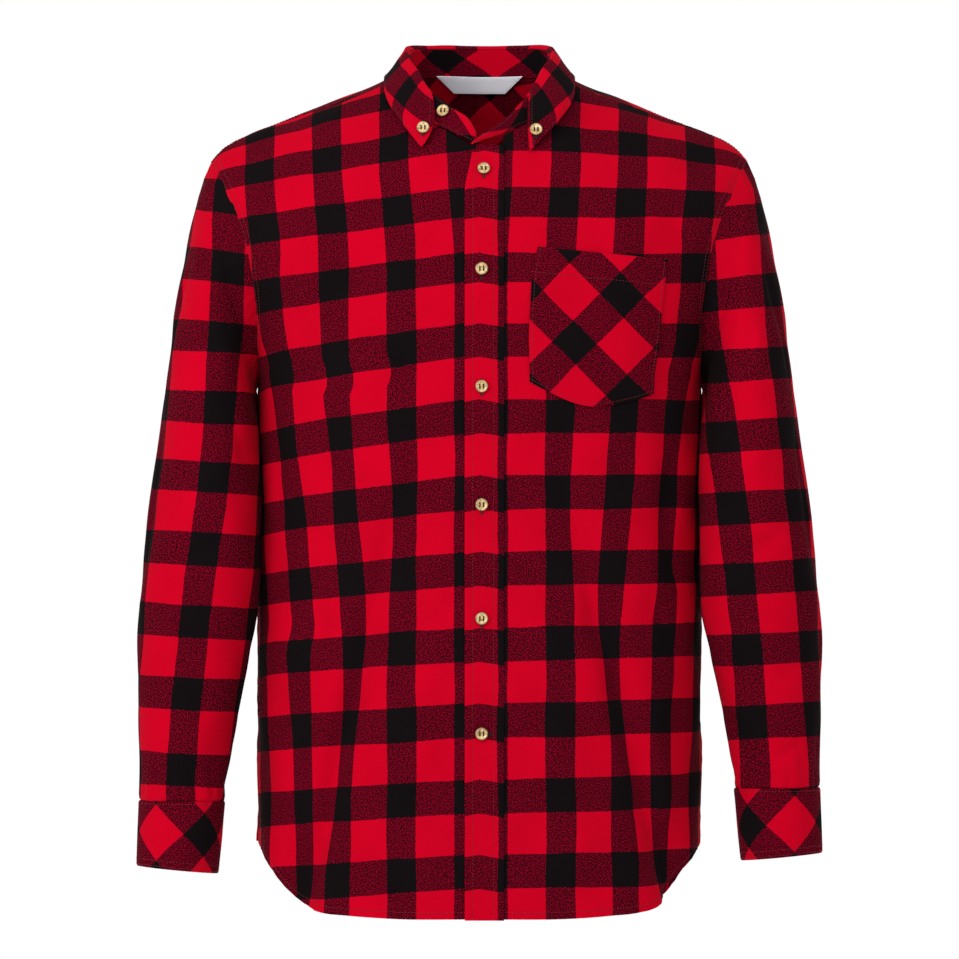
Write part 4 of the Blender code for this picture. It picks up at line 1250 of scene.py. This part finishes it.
# Stitches.
def stitchTree():
    # Stitches laid end to end along each path, each a slim spindle of thread.
    tree = bpy.data.node_groups.new("stitchesAlong", "GeometryNodeTree")
    face = tree.interface
    face.new_socket("Geometry", in_out="INPUT", socket_type="NodeSocketGeometry")
    for title, value in (("Pitch", 0.003), ("Stitch length", 0.0025), ("Thread width", 0.0006)):
        socket = face.new_socket(title, in_out="INPUT", socket_type="NodeSocketFloat")
        socket.default_value = value
    face.new_socket("Lay across", in_out="INPUT", socket_type="NodeSocketFloat")
    face.new_socket("Thread", in_out="INPUT", socket_type="NodeSocketMaterial")
    face.new_socket("Geometry", in_out="OUTPUT", socket_type="NodeSocketGeometry")
    given = tree.nodes.new("NodeGroupInput")
    path = addNode(tree, "GeometryNodeMeshToCurve", {}, {"Mesh": given.outputs["Geometry"]})
    even = addNode(tree, "GeometryNodeResampleCurve", {"mode": "LENGTH"},
                   {"Curve": path.outputs["Curve"], "Length": given.outputs["Pitch"]})
    spindle = addNode(tree, "GeometryNodeMeshUVSphere", {"Segments": 6, "Rings": 4, "Radius": 0.5})
    tangent = addNode(tree, "GeometryNodeInputTangent")
    away = addNode(tree, "GeometryNodeInputNamedAttribute",
                   {"data_type": "FLOAT_VECTOR", "Name": "away"})
    along = addNode(tree, "FunctionNodeAlignRotationToVector", {"axis": "X"},
                    {"Vector": tangent.outputs["Tangent"]})
    facing = addNode(tree, "FunctionNodeAlignRotationToVector", {"axis": "Z", "pivot_axis": "X"},
                     {"Rotation": along.outputs["Rotation"], "Vector": away.outputs["Attribute"]})
    turn = addNode(tree, "ShaderNodeCombineXYZ", {}, {"Z": given.outputs["Lay across"]})
    across = addNode(tree, "FunctionNodeRotateRotation", {"rotation_space": "LOCAL"},
                     {"Rotation": facing.outputs["Rotation"], "Rotate By": turn.outputs["Vector"]})
    size = addNode(tree, "ShaderNodeCombineXYZ", {},
                   {"X": given.outputs["Stitch length"], "Y": given.outputs["Thread width"],
                    "Z": given.outputs["Thread width"]})
    laid = addNode(tree, "GeometryNodeInstanceOnPoints", {},
                   {"Points": even.outputs["Curve"], "Instance": spindle.outputs["Mesh"],
                    "Rotation": across.outputs["Rotation"], "Scale": size.outputs["Vector"]})
    real = addNode(tree, "GeometryNodeRealizeInstances", {},
                   {"Geometry": laid.outputs["Instances"]})
    dyed = addNode(tree, "GeometryNodeSetMaterial", {},
                   {"Geometry": real.outputs["Geometry"], "Material": given.outputs["Thread"]})
    result = tree.nodes.new("NodeGroupOutput")
    tree.links.new(dyed.outputs["Geometry"], result.inputs["Geometry"])
    return tree


stitches = stitchTree()


def sewStitches(name, paths, pitch, length, width, thread, across=0.0, slotName="flannel"):
    # Each path is rows of a point and the way out of the cloth there, in millimetres.
    points = np.concatenate([path[:, :3] for path in paths]) * mm
    points[:, 2] -= originHeight * mm
    normals = np.concatenate([path[:, 3:] for path in paths])
    edges, start = [], 0
    for path in paths:
        edges += [(start + k, start + k + 1) for k in range(len(path) - 1)]
        start += len(path)
    mesh = bpy.data.meshes.new(name)
    mesh.from_pydata(points.tolist(), edges, [])
    away = mesh.attributes.new("away", "FLOAT_VECTOR", "POINT")
    away.data.foreach_set("vector", normals.astype(np.float32).ravel())
    piece = addObject(name, mesh)
    run = piece.modifiers.new("stitches", "NODES")
    run.node_group = stitches
    values = {"Pitch": pitch * mm, "Stitch length": length * mm, "Thread width": width * mm,
              "Lay across": across, "Thread": thread}
    for item in stitches.interface.items_tree:
        if item.in_out == "INPUT" and item.name in values:
            run[item.identifier] = values[item.name]
    makePlain(piece)
    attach(piece, "root")
    print("stitched", name, len(piece.data.polygons))


def raised(path, out=0.15):
    path = np.array(path, float)
    path[:, :3] += path[:, 3:] * out
    return path


def insideRuns(name, edge, *distances):
    return [raised(runInside(sheets[name], edge, d)) for d in distances]


def placketRun(x):
    sheet = sheets["placketBand"]
    nearest = np.argmin(np.abs(sheet[:, placket["rows"] // 2, 0] - x))
    return raised(sheet[nearest, 2:-2])


def above(paths, low):
    return [path[path[:, 2] > low] for path in paths]


topStitch = (3.0, 2.3, 0.55)  # pitch, stitch length and thread width
bodyRuns = [placketRun(x) for x in placket["stitches"]]
for panel in ("frontRight", "frontLeft", "backPanel"):
    bodyRuns += insideRuns(panel, "low", 6.5)
for panel, edge in (("frontRight", "last"), ("frontLeft", "last"), ("backPanel", "first"),
                    ("backPanel", "last")):
    bodyRuns += above(insideRuns(panel, edge, 3.0, 9.0), form["armpit"] + 4)
sewStitches("bodyStitches", bodyRuns, *topStitch, redThread)

trimRuns = []
for name, edge, *distances in (("yokePanel", "low", 2.0, 8.0), ("yokePanel", "high", 2.0, 8.0),
                               ("collarStand", "low", 1.8), ("collarStand", "high", 2.0),
                               ("collarLeaf", "high", 5.0)):
    trimRuns += insideRuns(name, edge, *distances)
for edge in ("first", "last"):
    trimRuns.append(raised(runInside(sheets["collarLeaf"][:, 5:], edge, 5.0)))
for edge, distance in (("low", 3.2), ("first", 3.2), ("last", 3.2), ("high", 24.0)):
    trimRuns += insideRuns("pocketPatch", edge, distance)
for word in ("Right", "Left"):
    trimRuns += insideRuns("cuff" + word, "high", 2.5, 7.5)
    trimRuns += insideRuns("cuff" + word, "low", 3.0) + insideRuns("cuff" + word, "last", 3.0)
    for edge in ("first", "last"):
        trimRuns += insideRuns("sleevePlacket" + word, edge, 2.0)
sewStitches("trimStitches", trimRuns, *topStitch, redThread, slotName="flannel_bias")

holeLook = {"length": 15.0, "width": 2.0, "pitch": 0.55}


def buttonholePath(base, across, up, normal, drop=0.0, lying=False):
    if lying:
        across, up = up, -across
    half, side = holeLook["length"] / 2, holeLook["width"] / 2
    corners = [(-side, -half), (-side, half), (side, half), (side, -half), (-side, -half)]
    path = []
    for (x0, z0), (x1, z1) in zip(corners, corners[1:]):
        for t in np.linspace(0, 1, 9)[:-1]:
            spot = base + across * (x0 + (x1 - x0) * t) + up * (z0 + (z1 - z0) * t - drop)
            path.append(np.concatenate([spot - normal * (button["lift"] - 0.35), normal]))
    return np.array(path + path[:1])


holePaths = []
for node, (base, across, up, normal) in placed.items():
    if node == "button_neck":
        continue
    holePaths.append(buttonholePath(base, across, up, normal, 1.5 if "collar" not in node else 0.0,
                                    lying=node == "button_front_6" or "cuff" in node))
sewStitches("buttonholes", holePaths, holeLook["pitch"], 1.3, 0.5, darkThread, across=math.pi / 2)

buttonThread = []
for path in threadPaths:
    path = np.array(path)
    out = np.tile(placed["button_front_1"][3], (len(path), 1))
    buttonThread.append(np.concatenate([path, out], axis=1))
sewStitches("buttonThread", buttonThread, 0.35, 0.9, 0.8, darkThread, slotName="button")


# Floor, light and camera.
stage = {"floorDrop": 0.40, "floorHalf": 1.9, "world": 1.0}
floorHeight = -originHeight * mm - stage["floorDrop"]
floorMesh = bpy.data.meshes.new("paleFloor")
side = stage["floorHalf"]
corners = ((-side, -side), (side, -side), (side, side), (-side, side))
floorMesh.from_pydata([(x, y, floorHeight) for x, y in corners], [], [(0, 1, 2, 3)])
floorMaterial, _, floorShader = newMaterial("mattWhiteFloor")
floorShader.inputs["Base Color"].default_value = toLinear("#f2f2f2")
floorShader.inputs["Roughness"].default_value = 0.9
floorMesh.materials.append(floorMaterial)
floor = addObject("paleFloor", floorMesh)

world = bpy.data.worlds.new("whiteStudio")
bpy.context.scene.world = world
world.use_nodes = True
background = world.node_tree.nodes["Background"]
background.inputs["Color"].default_value = (1, 1, 1, 1)
background.inputs["Strength"].default_value = stage["world"]
bpy.context.scene.view_settings.view_transform = "Standard"


def softBox(name, spot, aim, size, power):
    lamp = bpy.data.lights.new(name, "AREA")
    lamp.shape, lamp.size, lamp.energy = "SQUARE", size, power
    box = addObject(name, lamp)
    box.location = spot
    back = np.array(spot) - np.array(aim)
    tilt = math.atan2(np.hypot(back[0], back[1]), back[2])
    box.rotation_euler = (tilt, 0, math.atan2(back[0], -back[1]))


softBox("keySoftBox", (-1.7, -2.3, 0.7), (0, 0, -0.3), 1.5, 62)
softBox("fillSoftBox", (2.2, -1.6, 0.2), (0, 0, -0.4), 1.8, 5)
softBox("neckSoftBox", (0.0, -1.6, 0.9), (0, 0, 0.02), 0.6, 9)

camera = bpy.data.cameras.new("camera")
camera.sensor_width = 36.0
camera.lens = 484.3
view = addObject("camera", camera)
view.location = (0.0, -12.0, -0.335)
view.rotation_euler = (math.pi / 2, 0, 0)
bpy.context.scene.camera = view
